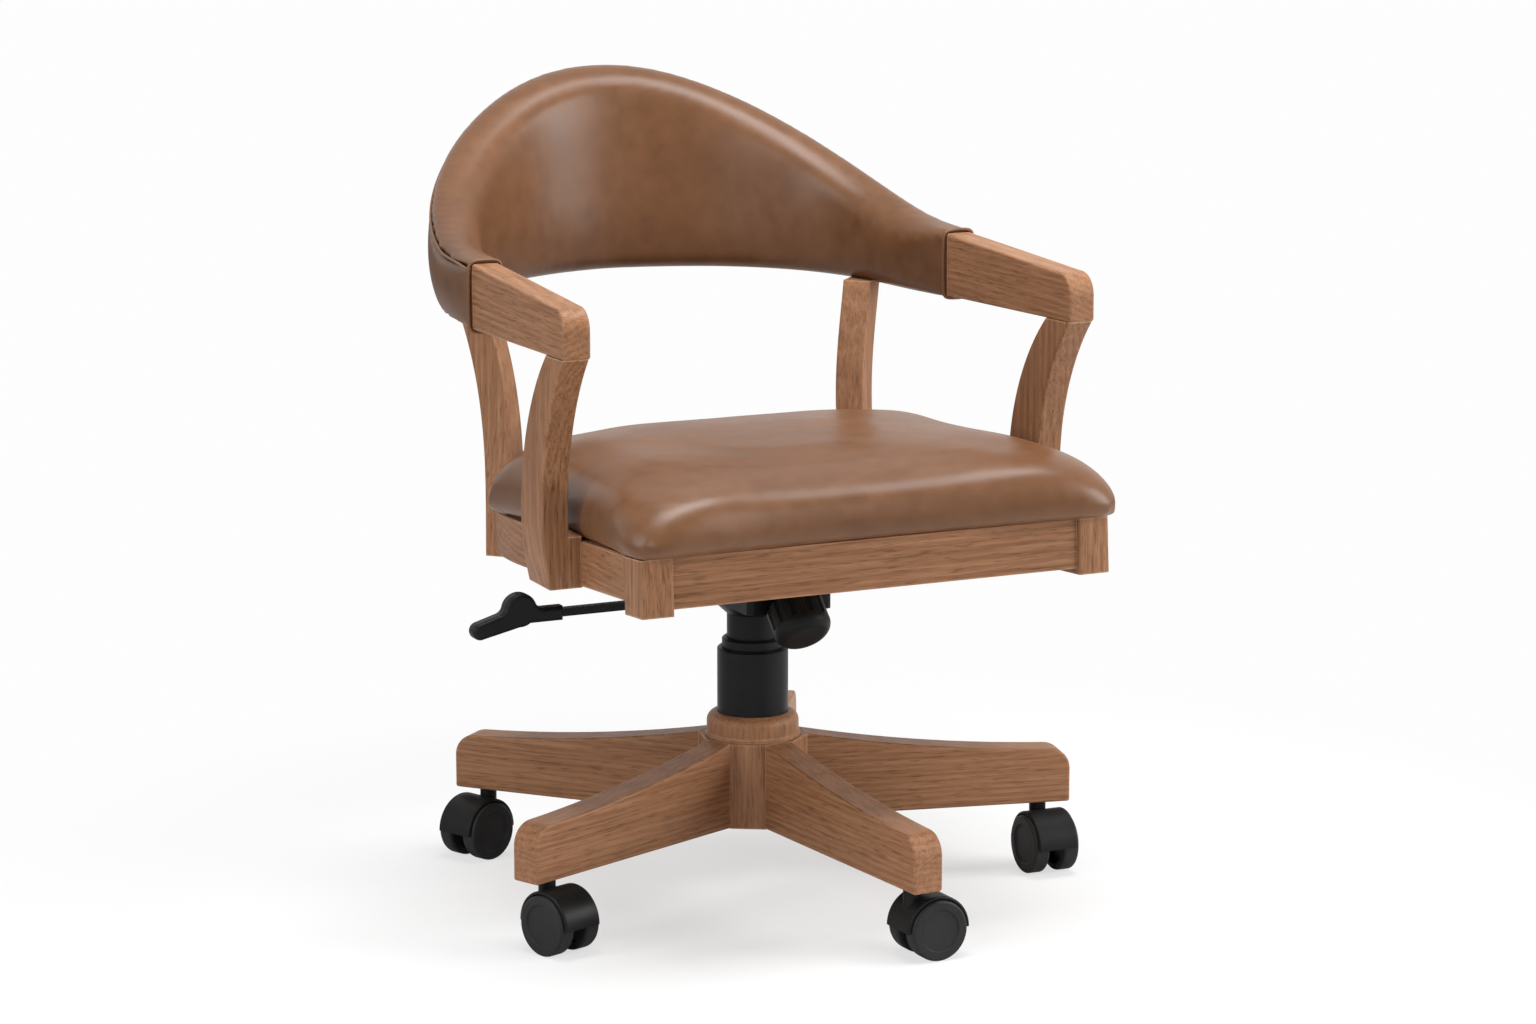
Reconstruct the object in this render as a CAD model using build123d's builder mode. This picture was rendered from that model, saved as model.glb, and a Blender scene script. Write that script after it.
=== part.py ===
"""A swivel desk chair: a five-leg wooden base on twin-wheel casters, a gas-lift column with a tilt
mechanism, and a leather seat in a wooden frame whose arms run into an upholstered barrel back.

Millimetres. The origin is on the floor under the column, +Z is up and the chair faces -Y.
"""

from build123d import *
import os
from math import cos, radians, sin, tan

# Fits
RUNNING_FIT = 0.05        # radial clearance of a pin or shaft in its hole
SEAT_GAP = 0.3            # between faces of pieces that move past each other
JOINT_GAP = 0.2           # between the layers of the upholstered back
WOOD_EASE = 2.5           # radius of the eased wooden edges
RAIL_EASE = 1.2           # and of the seat rails' and the hub's
STEEP = 0.5               # rise of an edge's direction, past which it counts as upright
QUARTER_TURN = 90.0       # degrees

# Star base
LEG_COUNT = 5
FIRST_LEG_ANGLE = -84.8   # of the leg nearest the front, degrees in plan
LEG_REACH = 330.0         # column axis to a leg's end
LEG_WIDTH = 32.0
LEG_UNDERSIDE = 71.0      # above the floor
LEG_TIP_TOP = 127.0
LEG_SAG = 6.0             # how far the top edge hollows below a straight line
LEG_END_ROUND = 22.0
HUB_FLAT = 52.0           # column axis to each of the hub's flats
HUB_TOP = 158.0
COLLAR_RADIUS = 46.5
COLLAR_HEIGHT = 24.0
COLLAR_ROUND = 10.0
COLLAR_LIP = 1.5          # of the wider ring at its foot
COLLAR_LIP_HEIGHT = 3.0
LEG_BOLT_RADIUS = 4.0
LEG_BOLT_HEIGHT = 105.0
LEG_BOLT_IN_HUB = 22.0
LEG_BOLT_IN_LEG = 45.0

# Casters
CASTER_INSET = 30.0       # leg's end to its caster stem
CASTER_TRAILS = (2.0, -92.5, 150.0, 203.5, -70.5)   # way each caster trails, degrees in plan
CASTER_TRAIL = 18.0       # stem axis to axle
WHEEL_RADIUS = 30.0
WHEEL_WIDTH = 17.0
WHEEL_GAP = 16.0          # between the two wheels of a caster
WHEEL_ROUND = 3.0
WHEEL_RIM = 6.5           # thickness of the rolling rim
WHEEL_DISC = 9.0          # thickness of the wheel's outer disc
WHEEL_BOSS_RADIUS = 9.0
WHEEL_CAP = 4.0           # solid end over the axle
WHEEL_DISH_RADIUS = 21.0
WHEEL_DISH = 1.5
HOOD_CLEAR = 1.2          # wheel to hood
HOOD_WALL = 2.6
HOOD_WIDTH = 44.0
HOOD_ROUND = 2.0
WEB_WIDTH = 15.0
WEB_BOSS_RADIUS = 11.0
STEM_RADIUS = 5.5
STEM_BOSS_RADIUS = 8.5
STEM_ROOT = 42.0          # height of the stem's lower end
SOCKET_WALL = 1.5
SOCKET_DEPTH = 36.0
AXLE_RADIUS = 4.0

# Column
TUBE_RADIUS = 26.0
TUBE_WALL = 3.0
TUBE_FLOOR = 74.0
TUBE_BELOW_HOUSING = 17.0
SHROUD_RADIUS = 35.8
SHROUD_WALL = 2.5
SHROUD_BELOW_TUBE = 35.0  # tube's top to the shroud's shoulder
SHROUD_RING_RADIUS = 31.0
SHROUD_RING_HEIGHT = 10.0
SHROUD_CHAMFER = 1.5
BUSH_LENGTH = 60.0
BEARING_RADIUS = 16.0
BEARING_HEIGHT = 6.0
ROD_RADIUS = 5.0
ROD_TAIL = 72.0           # height of the rod's lower end
ROD_CLEAR = 14.0          # its end to the end of the cylinder's bore
ROD_SHOULDER_RADIUS = 9.0
ROD_SHOULDER = 4.0
CYLINDER_RADIUS = 14.0
CYLINDER_FOOT = 120.0
CYLINDER_RISE = 20.0      # its top above the housing's bottom
CYLINDER_CROWN = 22.0     # solid over its bore
SPIGOT_RADIUS = 13.0      # of the cylinder's top, in the mechanism
RELEASE_RADIUS = 3.0
RELEASE_LENGTH = 22.7
RELEASE_WELL = 17.0       # depth of the release pin's hole

# Tilt mechanism
TILT_RANGE = 15.0         # degrees
TILT_SPARE = 1.0          # degrees the housing leaves beyond that
PIVOT_DEPTH = 248.0       # behind the frame's front, along the seat
PIVOT_RADIUS = 5.0
PLATE_LIFT = 12.0         # pivot to the seat plate's underside
HOUSING_DROP = 62.0       # its bottom below the seat frame's front
HOUSING_FRONT = -88.0
HOUSING_REAR = 70.0
HOUSING_WIDTH = 92.0
HOUSING_WALL = 3.5
HOUSING_ROUND = 6.0
CONE_RADIUS = 26.5
CONE_TOP_RADIUS = 45.0
SOCKET_BOSS_RADIUS = 19.0
SOCKET_BOSS_RISE = 18.0
KNOB_CENTRE_Y = -109.0
KNOB_DROP = 5.5           # its middle below the housing's bottom
KNOB_SLOPE = 45.0         # degrees its axis points below the front
KNOB_RADIUS = 29.0
KNOB_LENGTH = 37.0
KNOB_FLUTES = 12
KNOB_FLUTE_RADIUS = 4.5
KNOB_FLUTE_DEPTH = 2.0
KNOB_FLUTE_LENGTH = 24.0
KNOB_ROUND = 12.0
BARREL_RADIUS = 22.0
BARREL_WALL = 4.0
BARREL_LENGTH = 42.0
TENSION_BOLT_RADIUS = 5.0
TENSION_HEAD_RADIUS = 9.0
TENSION_HEAD = 6.0
TENSION_BOLT_IN_KNOB = 26.0
SPRING_CLEAR = 0.5

# Height lever
LEVER_RISE = 3.0          # of the outer, visible stretch above the housing's bottom
LEVER_INNER_RISE = 33.0   # where it crosses the cylinder's top
LEVER_DEPTH = 9.0
LEVER_HEIGHT = 8.0
LEVER_OUTER_X = -234.0
LEVER_BEND_X = -118.0
LEVER_RISE_X = -72.0
LEVER_INNER_X = 8.0
LEVER_BEND_RADIUS = 16.0
LEVER_PIVOT_X = -36.0
LEVER_PIN_RADIUS = 2.0
LEVER_LUG = 4.0           # thickness of each lug that holds the lever's pin
LEVER_LUG_WIDTH = 10.0
LEVER_SLOT_ROOM = 4.0     # round the rod in the housing's side
PADDLE_SOCKET_X = -209.0   # of its inner end, round the rod
PADDLE_SOCKET_HEIGHT = 14.5
PADDLE_LOBE = (-253.5, 6.5)        # X, and height over the lever
PADDLE_LOBE_RADIUS = 17.0
PADDLE_ROOT_RADIUS = 10.0
PADDLE_TIP = (-296.0, -11.0)
PADDLE_TIP_RADIUS = 8.5
PADDLE_DEPTH = 17.0
PADDLE_ROUND = 4.5
PADDLE_BLEND = 9.0

# Seat frame, drawn on a plane pitched back with the seat: X, depth from the front, height
SEAT_PITCH = 4.0          # degrees
FRAME_FRONT = -285.6      # Y of the front face
FRAME_UNDERSIDE = 362.0   # Z of the rails' lower edge at the front
RAIL_HEIGHT = 49.0
RAIL_THICKNESS = 22.0
STILE_WIDTH = 33.0
STILE_DEPTH = 42.0
STILE_DROP = 6.0          # below the front rail
STILE_OUTER = 247.5       # centre plane to a stile's outer face
FRONT_RAIL_SET_BACK = 4.0
SIDE_RAIL_RISE = 5.0      # lower edge of the side and rear rails above the front rail's
SIDE_RAIL_SET_IN = 4.3    # stile's outer face to the rail's
SIDE_RAIL_BEND_SET_IN = 10.6       # and where the rail starts to curve in
SIDE_RAIL_BEND_DEPTH = 305.0
BATTEN_WIDTH = 44.0
BATTEN_THICKNESS = 20.0
BATTEN_DEPTHS = (201.0, 337.0)
BOARD_THICKNESS = 12.0
BOARD_CLEAR = 1.0
PLATE_WIDTH = 150.0
PLATE_DEPTHS = (160.0, 372.0)
PLATE_THICKNESS = 4.0
PLATE_CORNER = 10.0
EAR_WIDTH = 32.0
EAR_BELOW_PIVOT = 12.0
AXLE_OVERHANG = 2.0       # of the tilt axle past the ears
PLATE_BOLT_RADIUS = 3.0
PLATE_BOLT_HEAD_RADIUS = 5.5
PLATE_BOLT_HEAD = 4.0
PLATE_BOLT_SPACING = 120.0
PLATE_BOLT_IN_BATTEN = 16.0

# Seat cushion, measured from a middle point on the frame's top
CUSHION_DEPTH = 210.0     # middle point behind the frame's front, along the seat
CUSHION_OVERHANG = 3.5    # past the stiles' outer faces
CUSHION_TAPER = 14.0      # of its half width, front to rear
CUSHION_FRONT_REACH = 220.0
CUSHION_REAR_REACH = 212.0
CUSHION_DRAW_IN = 4.0     # how far the front and rear pull in between the corners
CUSHION_SIDE_DRAW_IN = 7.0
CUSHION_LEVELS = (        # height, pitch in degrees, inset and corner radius of each outline
    (0.0, 4.0, 5.0, 9.0), (4.0, 3.8, 2.0, 12.0), (12.0, 3.4, 0.0, 20.0), (25.0, 2.9, 0.0, 34.0),
    (38.0, 2.3, 2.5, 50.0), (48.0, 1.8, 7.0, 64.0), (56.0, 1.5, 14.0, 76.0), (62.0, 1.2, 24.0, 84.0),
    (67.0, 1.0, 39.0, 88.0), (71.5, 0.9, 62.0, 86.0), (75.0, 0.8, 95.0, 80.0), (77.5, 0.8, 140.0, 64.0))

# Posts, arms and back
BACK_POST_SIDE = 31.0     # square, turned corner-on
BACK_POST_FOOT_DROP = 31.0   # below the seat frame's front
BACK_POST_TENON = 4.0     # of its top in the back
BACK_POST_PATH = (        # inside the back's outer radius, behind its centre, share of the height
    (71.0, 44.0, 0.0), (75.0, 54.0, 0.355), (71.5, 63.0, 0.673), (61.5, 72.0, 0.912), (56.5, 77.5, 1.0))
ARM_POST_FOOT_DROP = 7.0  # below the seat frame's front
ARM_POST_FRONT_Y = -127.0
ARM_POST_REAR_Y = -70.0
ARM_POST_FRONT_RISE = 68.0   # above the frame's underside, where the front edge starts to sweep
ARM_POST_REAR_RISE = 59.0
ARM_POST_TOP_FRONT = -185.0
ARM_POST_TOP_REAR = -140.0
ARM_POST_DRAW_IN = 8.0    # of its outer face at the foot
ARM_POST_DRAW_RISE = 63.0 # above the frame's underside, where that starts
ARM_POST_LAP_RISE = 43.0  # and up to which it lies flat on the side rail
ARM_FRONT = -187.0        # Y of the arm's front end
ARM_OVERHANG = 35.5       # stile's outer face to the arm's outer face at the front
ARM_THICKNESS = 28.0
ARM_SPLAY = 1.8           # degrees
ARM_FRONT_UNDERSIDE = 585.6
ARM_FALL = 5.6            # of its underside, front to rear
ARM_FRONT_DEPTH = 46.4
ARM_REAR_DEPTH = 64.5
ARM_FRONT_ROUND = 22.0
ARM_NECK = 2.5            # length and depth of the shadow gap before the leather
BACK_CENTRE_Y = 114.0     # of the barrel's circle in plan
BACK_END_Y = 57.0         # where the leather meets the arm
BACK_SET_IN = 9.0         # arm's outer face at the front to the outer leather's radius at the rim
BACK_THICKNESS = 47.0
BACK_BELLY_SWELL = 3.0    # of the outer leather at half height
BACK_FOOT_SET_IN = 7.0    # of the outer leather at its lower edge
CORE_SET_IN = 22.0        # outer leather's radius to the core's inner face
CORE_THICKNESS = 12.0
CORE_INSET = 3.0          # core's lower edge above the padding's
BACK_UNDERSIDE_DROP = 2.0 # below the arm's
BACK_UNDERSIDE_RISE = 7.0 # at the middle of the back
RIM_SIDE_RISE = 8.5       # of the rim above the arm, where the curve starts
RIM_RISE = 146.0          # from there to the middle of the back
RIM_LEVEL_SHARE = 0.25    # share of the rise that follows the sine, the rest its square
BACK_LEAN = 3.4           # degrees at the middle of the back
PAD_LOWER_SHARE = 0.56    # of the padding's thickness, rounded off at its lower edge
SLEEVE_PROUD = 2.5        # leather past the arm's faces where they meet
SLEEVE_ROUND = 5.0        # its upper edges there
SLEEVE_FULLNESS = 0.12    # share of the outer leather's swell and set-in that is left there
PAD_RIM_DROP = 14.0       # rim to the piped edge on the outside, along the curve
PAD_RIM_FLAT = 1.0
BACK_ANGLES = (5.0, 25.0, 46.0, 68.0)   # of the outlines along half the curve
BACK_RUN_SHARE = 0.5      # of the straight end, where one more outline stands
PAD_END_SWELL = 0.45      # share of the full padding at that outline
TONGUE_LENGTH = 40.0
TONGUE_HEIGHT = 34.0
TONGUE_RISE = 10.0        # core's lower edge to the tongue

# Worked-out sizes
CASTER_CIRCLE = LEG_REACH - CASTER_INSET
HOUSING_BOTTOM = FRAME_UNDERSIDE - HOUSING_DROP
TUBE_TOP = HOUSING_BOTTOM - TUBE_BELOW_HOUSING
CYLINDER_TOP = HOUSING_BOTTOM + CYLINDER_RISE
CYLINDER_BORE_TOP = CYLINDER_TOP - CYLINDER_CROWN
ROD_TOP = CYLINDER_BORE_TOP - ROD_CLEAR
SOCKET_BOSS_TOP = HOUSING_BOTTOM + SOCKET_BOSS_RISE
KNOB_CENTRE = (KNOB_CENTRE_Y, HOUSING_BOTTOM - KNOB_DROP)
LEVER_Z = HOUSING_BOTTOM + LEVER_RISE
LEVER_INNER_Z = HOUSING_BOTTOM + LEVER_INNER_RISE
SIDE_RAIL_FRONT = STILE_OUTER - SIDE_RAIL_SET_IN
SIDE_RAIL_BEND = (STILE_OUTER - SIDE_RAIL_BEND_SET_IN, SIDE_RAIL_BEND_DEPTH)
CUSHION_FRONT_HALF = STILE_OUTER + CUSHION_OVERHANG
CUSHION_REAR_HALF = CUSHION_FRONT_HALF - CUSHION_TAPER
ARM_POST_FOOT = FRAME_UNDERSIDE - ARM_POST_FOOT_DROP
ARM_POST_FRONT = (ARM_POST_FRONT_Y, FRAME_UNDERSIDE + ARM_POST_FRONT_RISE)
ARM_POST_REAR = (ARM_POST_REAR_Y, FRAME_UNDERSIDE + ARM_POST_REAR_RISE)
ARM_POST_DRAW_START = FRAME_UNDERSIDE + ARM_POST_DRAW_RISE
ARM_POST_LAP_TOP = FRAME_UNDERSIDE + ARM_POST_LAP_RISE
ARM_OUTER = STILE_OUTER + ARM_OVERHANG
ARM_REAR_UNDERSIDE = ARM_FRONT_UNDERSIDE - ARM_FALL
ARM_FRONT_TOP = ARM_FRONT_UNDERSIDE + ARM_FRONT_DEPTH
ARM_REAR_TOP = ARM_REAR_UNDERSIDE + ARM_REAR_DEPTH
BACK_OUTER = ARM_OUTER - BACK_SET_IN
BACK_INNER = BACK_OUTER - BACK_THICKNESS
CORE_INNER = BACK_OUTER - CORE_SET_IN
BACK_UNDERSIDE = ARM_REAR_UNDERSIDE - BACK_UNDERSIDE_DROP
RIM_SIDE = ARM_REAR_TOP + RIM_SIDE_RISE
RIM_TOP = RIM_SIDE + RIM_RISE
BACK_POST_FOOT = FRAME_UNDERSIDE - BACK_POST_FOOT_DROP
BACK_POST_HEIGHT = BACK_UNDERSIDE + BACK_POST_TENON - BACK_POST_FOOT
BACK_POST_MIDDLES = [(BACK_OUTER - inset, BACK_CENTRE_Y + behind, BACK_POST_FOOT + rise * BACK_POST_HEIGHT)
                     for inset, behind, rise in BACK_POST_PATH]
COLLAR_TOP = HUB_TOP + COLLAR_HEIGHT
LEG_ANGLES = [FIRST_LEG_ANGLE + 360 / LEG_COUNT * leg for leg in range(LEG_COUNT)]
SOCKET_RADIUS = STEM_RADIUS + RUNNING_FIT + SOCKET_WALL
HOOD_INNER = WHEEL_RADIUS + HOOD_CLEAR
HOOD_RADIUS = HOOD_INNER + HOOD_WALL
SHROUD_TOP = TUBE_TOP - SHROUD_BELOW_TUBE
SHROUD_RING_TOP = SHROUD_TOP + SHROUD_RING_HEIGHT
TUBE_BORE = TUBE_RADIUS - TUBE_WALL
BEARING_TOP = TUBE_FLOOR + TUBE_WALL + BEARING_HEIGHT
HOUSING_FOOT = TUBE_TOP + SEAT_GAP
BATTEN_UNDERSIDE = RAIL_HEIGHT - BOARD_THICKNESS - BATTEN_THICKNESS
PLATE_UNDERSIDE = BATTEN_UNDERSIDE - PLATE_THICKNESS
PIVOT_HEIGHT = PLATE_UNDERSIDE - PLATE_LIFT
EAR_INNER = HOUSING_WIDTH / 2 + SEAT_GAP
CORE_OUTER = CORE_INNER + CORE_THICKNESS
PAD_END_INNER = BACK_OUTER - ARM_THICKNESS - 2 * SLEEVE_PROUD
SLEEVE_TOP = ARM_REAR_TOP + SLEEVE_PROUD
SLOPE = radians(SEAT_PITCH)
LEAN = tan(radians(BACK_LEAN))
SPLAY = radians(ARM_SPLAY)
ARM_LENGTH = (BACK_END_Y - ARM_FRONT) / cos(SPLAY)

# Datum planes
SEAT = Plane(origin=(0, FRAME_FRONT, FRAME_UNDERSIDE), x_dir=(1, 0, 0),
             z_dir=(0, sin(SLOPE), cos(SLOPE)))
PIVOT = SEAT.from_local_coords((0, PIVOT_DEPTH, PIVOT_HEIGHT))
KNOB_AXIS = (0, -cos(radians(KNOB_SLOPE)), -sin(radians(KNOB_SLOPE)))

os.makedirs("parts", exist_ok=True)


def save(part, name):
    """Label a finished piece and write it."""
    part.label = name
    export_step(part, f"parts/{name}.step")


def upright_plane(origin, angle):
    """Upright plane: x runs level at an angle in plan, y up."""
    turn = radians(angle)
    return Plane(origin=origin, x_dir=(cos(turn), sin(turn), 0), z_dir=(sin(turn), -cos(turn), 0))


def radial_plane(angle):
    """Upright plane out from the column axis."""
    return upright_plane((0, 0, 0), angle)


def seat_plane(height):
    """Plane over the pitched seat frame at a height above the rails' lower edge."""
    return SEAT.offset(height)


def knob_plane(along):
    """Plane across the tension knob's axis, a distance from the knob's middle towards its end."""
    middle = Vector(0, *KNOB_CENTRE)
    return Plane(origin=middle + Vector(*KNOB_AXIS) * along, x_dir=(1, 0, 0), z_dir=KNOB_AXIS)


def ring(outer, inner, low, high):
    """Upright ring on the column axis."""
    with BuildPart() as body:
        with BuildSketch(Plane.XY.offset(low)):
            Circle(outer)
            Circle(inner, mode=Mode.SUBTRACT)
        extrude(amount=high - low)
    return body.part


def turned(*outline):
    """Solid turned about the column axis from a closed outline of radius and height."""
    with BuildPart() as body:
        with BuildSketch(Plane.XZ):
            with BuildLine():
                Polyline(*outline, close=True)
            make_face()
        revolve(axis=Axis.Z)
    return body.part


def mirrored(part):
    """The same piece for the other side of the chair."""
    with BuildPart() as other:
        add(part)
        mirror(about=Plane.YZ, mode=Mode.REPLACE)
    return other.part


# Star base
def bolt_plane(angle, reach):
    """Plane across a leg bolt's axis, a distance from the column."""
    side = radial_plane(angle)
    return Plane(origin=side.from_local_coords((reach, LEG_BOLT_HEIGHT, 0)), z_dir=side.x_dir)


def make_leg(angle):
    """Leg butted on a flat of the hub, with its bolt's hole and its caster's socket."""
    side = radial_plane(angle)
    with BuildPart() as leg:
        with BuildSketch(side):
            middle = (HUB_FLAT + LEG_REACH) / 2
            with BuildLine():
                Line((HUB_FLAT, LEG_UNDERSIDE), (LEG_REACH, LEG_UNDERSIDE))
                end = Line((LEG_REACH, LEG_UNDERSIDE), (LEG_REACH, LEG_TIP_TOP))
                ThreePointArc(end @ 1, (middle, (LEG_TIP_TOP + HUB_TOP) / 2 - LEG_SAG), (HUB_FLAT, HUB_TOP))
                Line((HUB_FLAT, HUB_TOP), (HUB_FLAT, LEG_UNDERSIDE))
            face = make_face()
            fillet(face.vertices().sort_by_distance((LEG_REACH, LEG_TIP_TOP, 0))[0], LEG_END_ROUND)
        extrude(amount=LEG_WIDTH / 2, both=True)
        root = bolt_plane(angle, HUB_FLAT)
        free = leg.edges().filter_by(lambda edge: root.to_local_coords(edge.center()).Z > WOOD_EASE)
        fillet(free, WOOD_EASE)
        with BuildSketch(root):
            Circle(LEG_BOLT_RADIUS + RUNNING_FIT)
        extrude(amount=LEG_BOLT_IN_LEG, mode=Mode.SUBTRACT)
        with BuildSketch(Plane(origin=side.from_local_coords((CASTER_CIRCLE, LEG_UNDERSIDE, 0)))):
            Circle(SOCKET_RADIUS)
        extrude(amount=SOCKET_DEPTH, mode=Mode.SUBTRACT)
    return leg.part


for number, angle in enumerate(LEG_ANGLES, start=1):
    save(make_leg(angle), f"base_leg_{number}")


with BuildPart() as base_hub:
    with BuildSketch(Plane.XY.offset(LEG_UNDERSIDE)):
        RegularPolygon(HUB_FLAT, 2 * LEG_COUNT, major_radius=False,
                       rotation=FIRST_LEG_ANGLE - QUARTER_TURN / LEG_COUNT)
        Circle(TUBE_RADIUS + RUNNING_FIT, mode=Mode.SUBTRACT)
    extrude(amount=HUB_TOP - LEG_UNDERSIDE)
    fillet(base_hub.edges().filter_by(Axis.Z), RAIL_EASE)
    fillet(base_hub.faces().sort_by(Axis.Z)[-1].outer_wire().edges(), RAIL_EASE)
    for angle in LEG_ANGLES:
        with BuildSketch(bolt_plane(angle, HUB_FLAT - LEG_BOLT_IN_HUB)):
            Circle(LEG_BOLT_RADIUS + RUNNING_FIT)
        extrude(amount=LEG_BOLT_IN_HUB, mode=Mode.SUBTRACT)
save(base_hub.part, "base_hub")

with BuildPart() as leg_bolts:
    for angle in LEG_ANGLES:
        with BuildSketch(bolt_plane(angle, HUB_FLAT - LEG_BOLT_IN_HUB)):
            Circle(LEG_BOLT_RADIUS)
        extrude(amount=LEG_BOLT_IN_HUB + LEG_BOLT_IN_LEG)
save(leg_bolts.part, "leg_bolts")

with BuildPart() as hub_collar:
    with BuildSketch(Plane.XY.offset(HUB_TOP)):
        Circle(COLLAR_RADIUS)
        Circle(TUBE_RADIUS + RUNNING_FIT, mode=Mode.SUBTRACT)
    extrude(amount=COLLAR_HEIGHT)
    fillet(hub_collar.faces().sort_by(Axis.Z)[-1].outer_wire().edges(), COLLAR_ROUND)
    with BuildSketch(Plane.XY.offset(HUB_TOP)):
        Circle(COLLAR_RADIUS + COLLAR_LIP)
        Circle(TUBE_RADIUS + RUNNING_FIT, mode=Mode.SUBTRACT)
    extrude(amount=COLLAR_LIP_HEIGHT)
save(hub_collar.part, "hub_collar")


def stem_spot(angle, height):
    """Point on a caster stem's axis."""
    return radial_plane(angle).from_local_coords((CASTER_CIRCLE, height, 0))


with BuildPart() as caster_sockets:
    for angle in LEG_ANGLES:
        with BuildSketch(Plane(origin=stem_spot(angle, LEG_UNDERSIDE))):
            Circle(SOCKET_RADIUS)
            Circle(STEM_RADIUS + RUNNING_FIT, mode=Mode.SUBTRACT)
        extrude(amount=SOCKET_DEPTH)
save(caster_sockets.part, "caster_sockets")


# Casters: each plane stands at the axle, with x along the trail and y up
def axle_plane(angle, trail):
    """Upright plane of one caster."""
    turn = radians(trail)
    along = Vector(cos(turn), sin(turn), 0)
    return upright_plane(stem_spot(angle, WHEEL_RADIUS) + along * CASTER_TRAIL, trail)


def half_disc(radius):
    """Upper half of a disc, in the sketch at hand."""
    Circle(radius)
    with Locations((0, -radius / 2)):
        Rectangle(2 * radius, radius, mode=Mode.SUBTRACT)


def make_hood(side, stem):
    """Fender over both wheels, the web between them and the stem's boss."""
    with BuildPart() as hood:
        with BuildSketch(side):
            half_disc(HOOD_RADIUS)
        extrude(amount=HOOD_WIDTH / 2, both=True)
        fillet(hood.edges().filter_by(GeomType.CIRCLE), HOOD_ROUND)
        with BuildSketch(stem.offset(WHEEL_RADIUS)):
            Circle(STEM_BOSS_RADIUS)
        extrude(amount=LEG_UNDERSIDE - SEAT_GAP - WHEEL_RADIUS)
        with BuildSketch(side):
            Circle(HOOD_INNER)
        extrude(amount=HOOD_WIDTH / 2, both=True, mode=Mode.SUBTRACT)
        with BuildSketch(side):
            half_disc(HOOD_INNER + HOOD_WALL / 2)
            Circle(WEB_BOSS_RADIUS)
        extrude(amount=WEB_WIDTH / 2, both=True)
        with BuildSketch(stem.offset(STEM_ROOT)):
            Circle(STEM_RADIUS + RUNNING_FIT)
        extrude(amount=LEG_UNDERSIDE - STEM_ROOT, mode=Mode.SUBTRACT)
        with BuildSketch(side):
            Circle(AXLE_RADIUS + RUNNING_FIT)
        extrude(amount=WEB_WIDTH / 2, both=True, mode=Mode.SUBTRACT)
    return hood.part


def make_pins(side, stem):
    """Stem and axle of one caster."""
    with BuildPart() as pins:
        with BuildSketch(stem.offset(STEM_ROOT)):
            Circle(STEM_RADIUS)
        extrude(amount=LEG_UNDERSIDE + SOCKET_DEPTH - STEM_ROOT - SEAT_GAP)
        with BuildSketch(side):
            Circle(AXLE_RADIUS)
        extrude(amount=WHEEL_GAP / 2 + WHEEL_WIDTH - WHEEL_CAP - SEAT_GAP, both=True)
    return pins.part


def make_wheels(side):
    """Pair of wheels on one axle, each a dished disc with a rolling rim and a blind bore."""
    section = Plane(origin=side.origin, x_dir=(0, 0, 1), z_dir=side.x_dir)
    bore = AXLE_RADIUS + RUNNING_FIT
    inner = WHEEL_GAP / 2
    outer = inner + WHEEL_WIDTH
    disc = outer - WHEEL_DISC
    hollow = WHEEL_RADIUS - WHEEL_RIM
    with BuildPart() as wheels:
        for way in (1, -1):
            with BuildSketch(section):
                with BuildLine():
                    Polyline((bore, way * inner), (WHEEL_BOSS_RADIUS, way * inner),
                             (WHEEL_BOSS_RADIUS, way * disc), (hollow, way * disc), (hollow, way * inner),
                             (WHEEL_RADIUS, way * inner), (WHEEL_RADIUS, way * outer),
                             (WHEEL_DISH_RADIUS, way * outer),
                             (WHEEL_DISH_RADIUS - WHEEL_DISH, way * (outer - WHEEL_DISH)),
                             (0, way * (outer - WHEEL_DISH)), (0, way * (outer - WHEEL_CAP)),
                             (bore, way * (outer - WHEEL_CAP)), close=True)
                face = make_face()
                fillet(face.vertices().group_by(Axis.X)[-1], WHEEL_ROUND)
            revolve(axis=Axis(side.origin, side.z_dir))
    return wheels.part


for number, (angle, trail) in enumerate(zip(LEG_ANGLES, CASTER_TRAILS), start=1):
    axle = axle_plane(angle, trail)
    stem = Plane(origin=stem_spot(angle, 0))
    save(make_hood(axle, stem), f"caster_{number}_hood")
    save(make_pins(axle, stem), f"caster_{number}_pins")
    save(make_wheels(axle), f"caster_{number}_wheels")

# Column
column_tube = turned(
    (ROD_RADIUS + RUNNING_FIT, TUBE_FLOOR), (TUBE_RADIUS, TUBE_FLOOR), (TUBE_RADIUS, TUBE_TOP),
    (TUBE_BORE, TUBE_TOP), (TUBE_BORE, TUBE_FLOOR + TUBE_WALL),
    (ROD_RADIUS + RUNNING_FIT, TUBE_FLOOR + TUBE_WALL))
save(column_tube, "column_tube")

shroud_bore = TUBE_RADIUS + RUNNING_FIT
column_shroud = turned(
    (SHROUD_RADIUS - SHROUD_WALL, COLLAR_TOP), (SHROUD_RADIUS, COLLAR_TOP),
    (SHROUD_RADIUS, SHROUD_TOP - SHROUD_CHAMFER), (SHROUD_RADIUS - SHROUD_CHAMFER, SHROUD_TOP),
    (SHROUD_RING_RADIUS, SHROUD_TOP), (SHROUD_RING_RADIUS, SHROUD_RING_TOP - SHROUD_CHAMFER),
    (SHROUD_RING_RADIUS - SHROUD_CHAMFER, SHROUD_RING_TOP), (shroud_bore, SHROUD_RING_TOP),
    (shroud_bore, SHROUD_TOP - SHROUD_WALL), (SHROUD_RADIUS - SHROUD_WALL, SHROUD_TOP - SHROUD_WALL))
save(column_shroud, "column_shroud")

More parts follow.
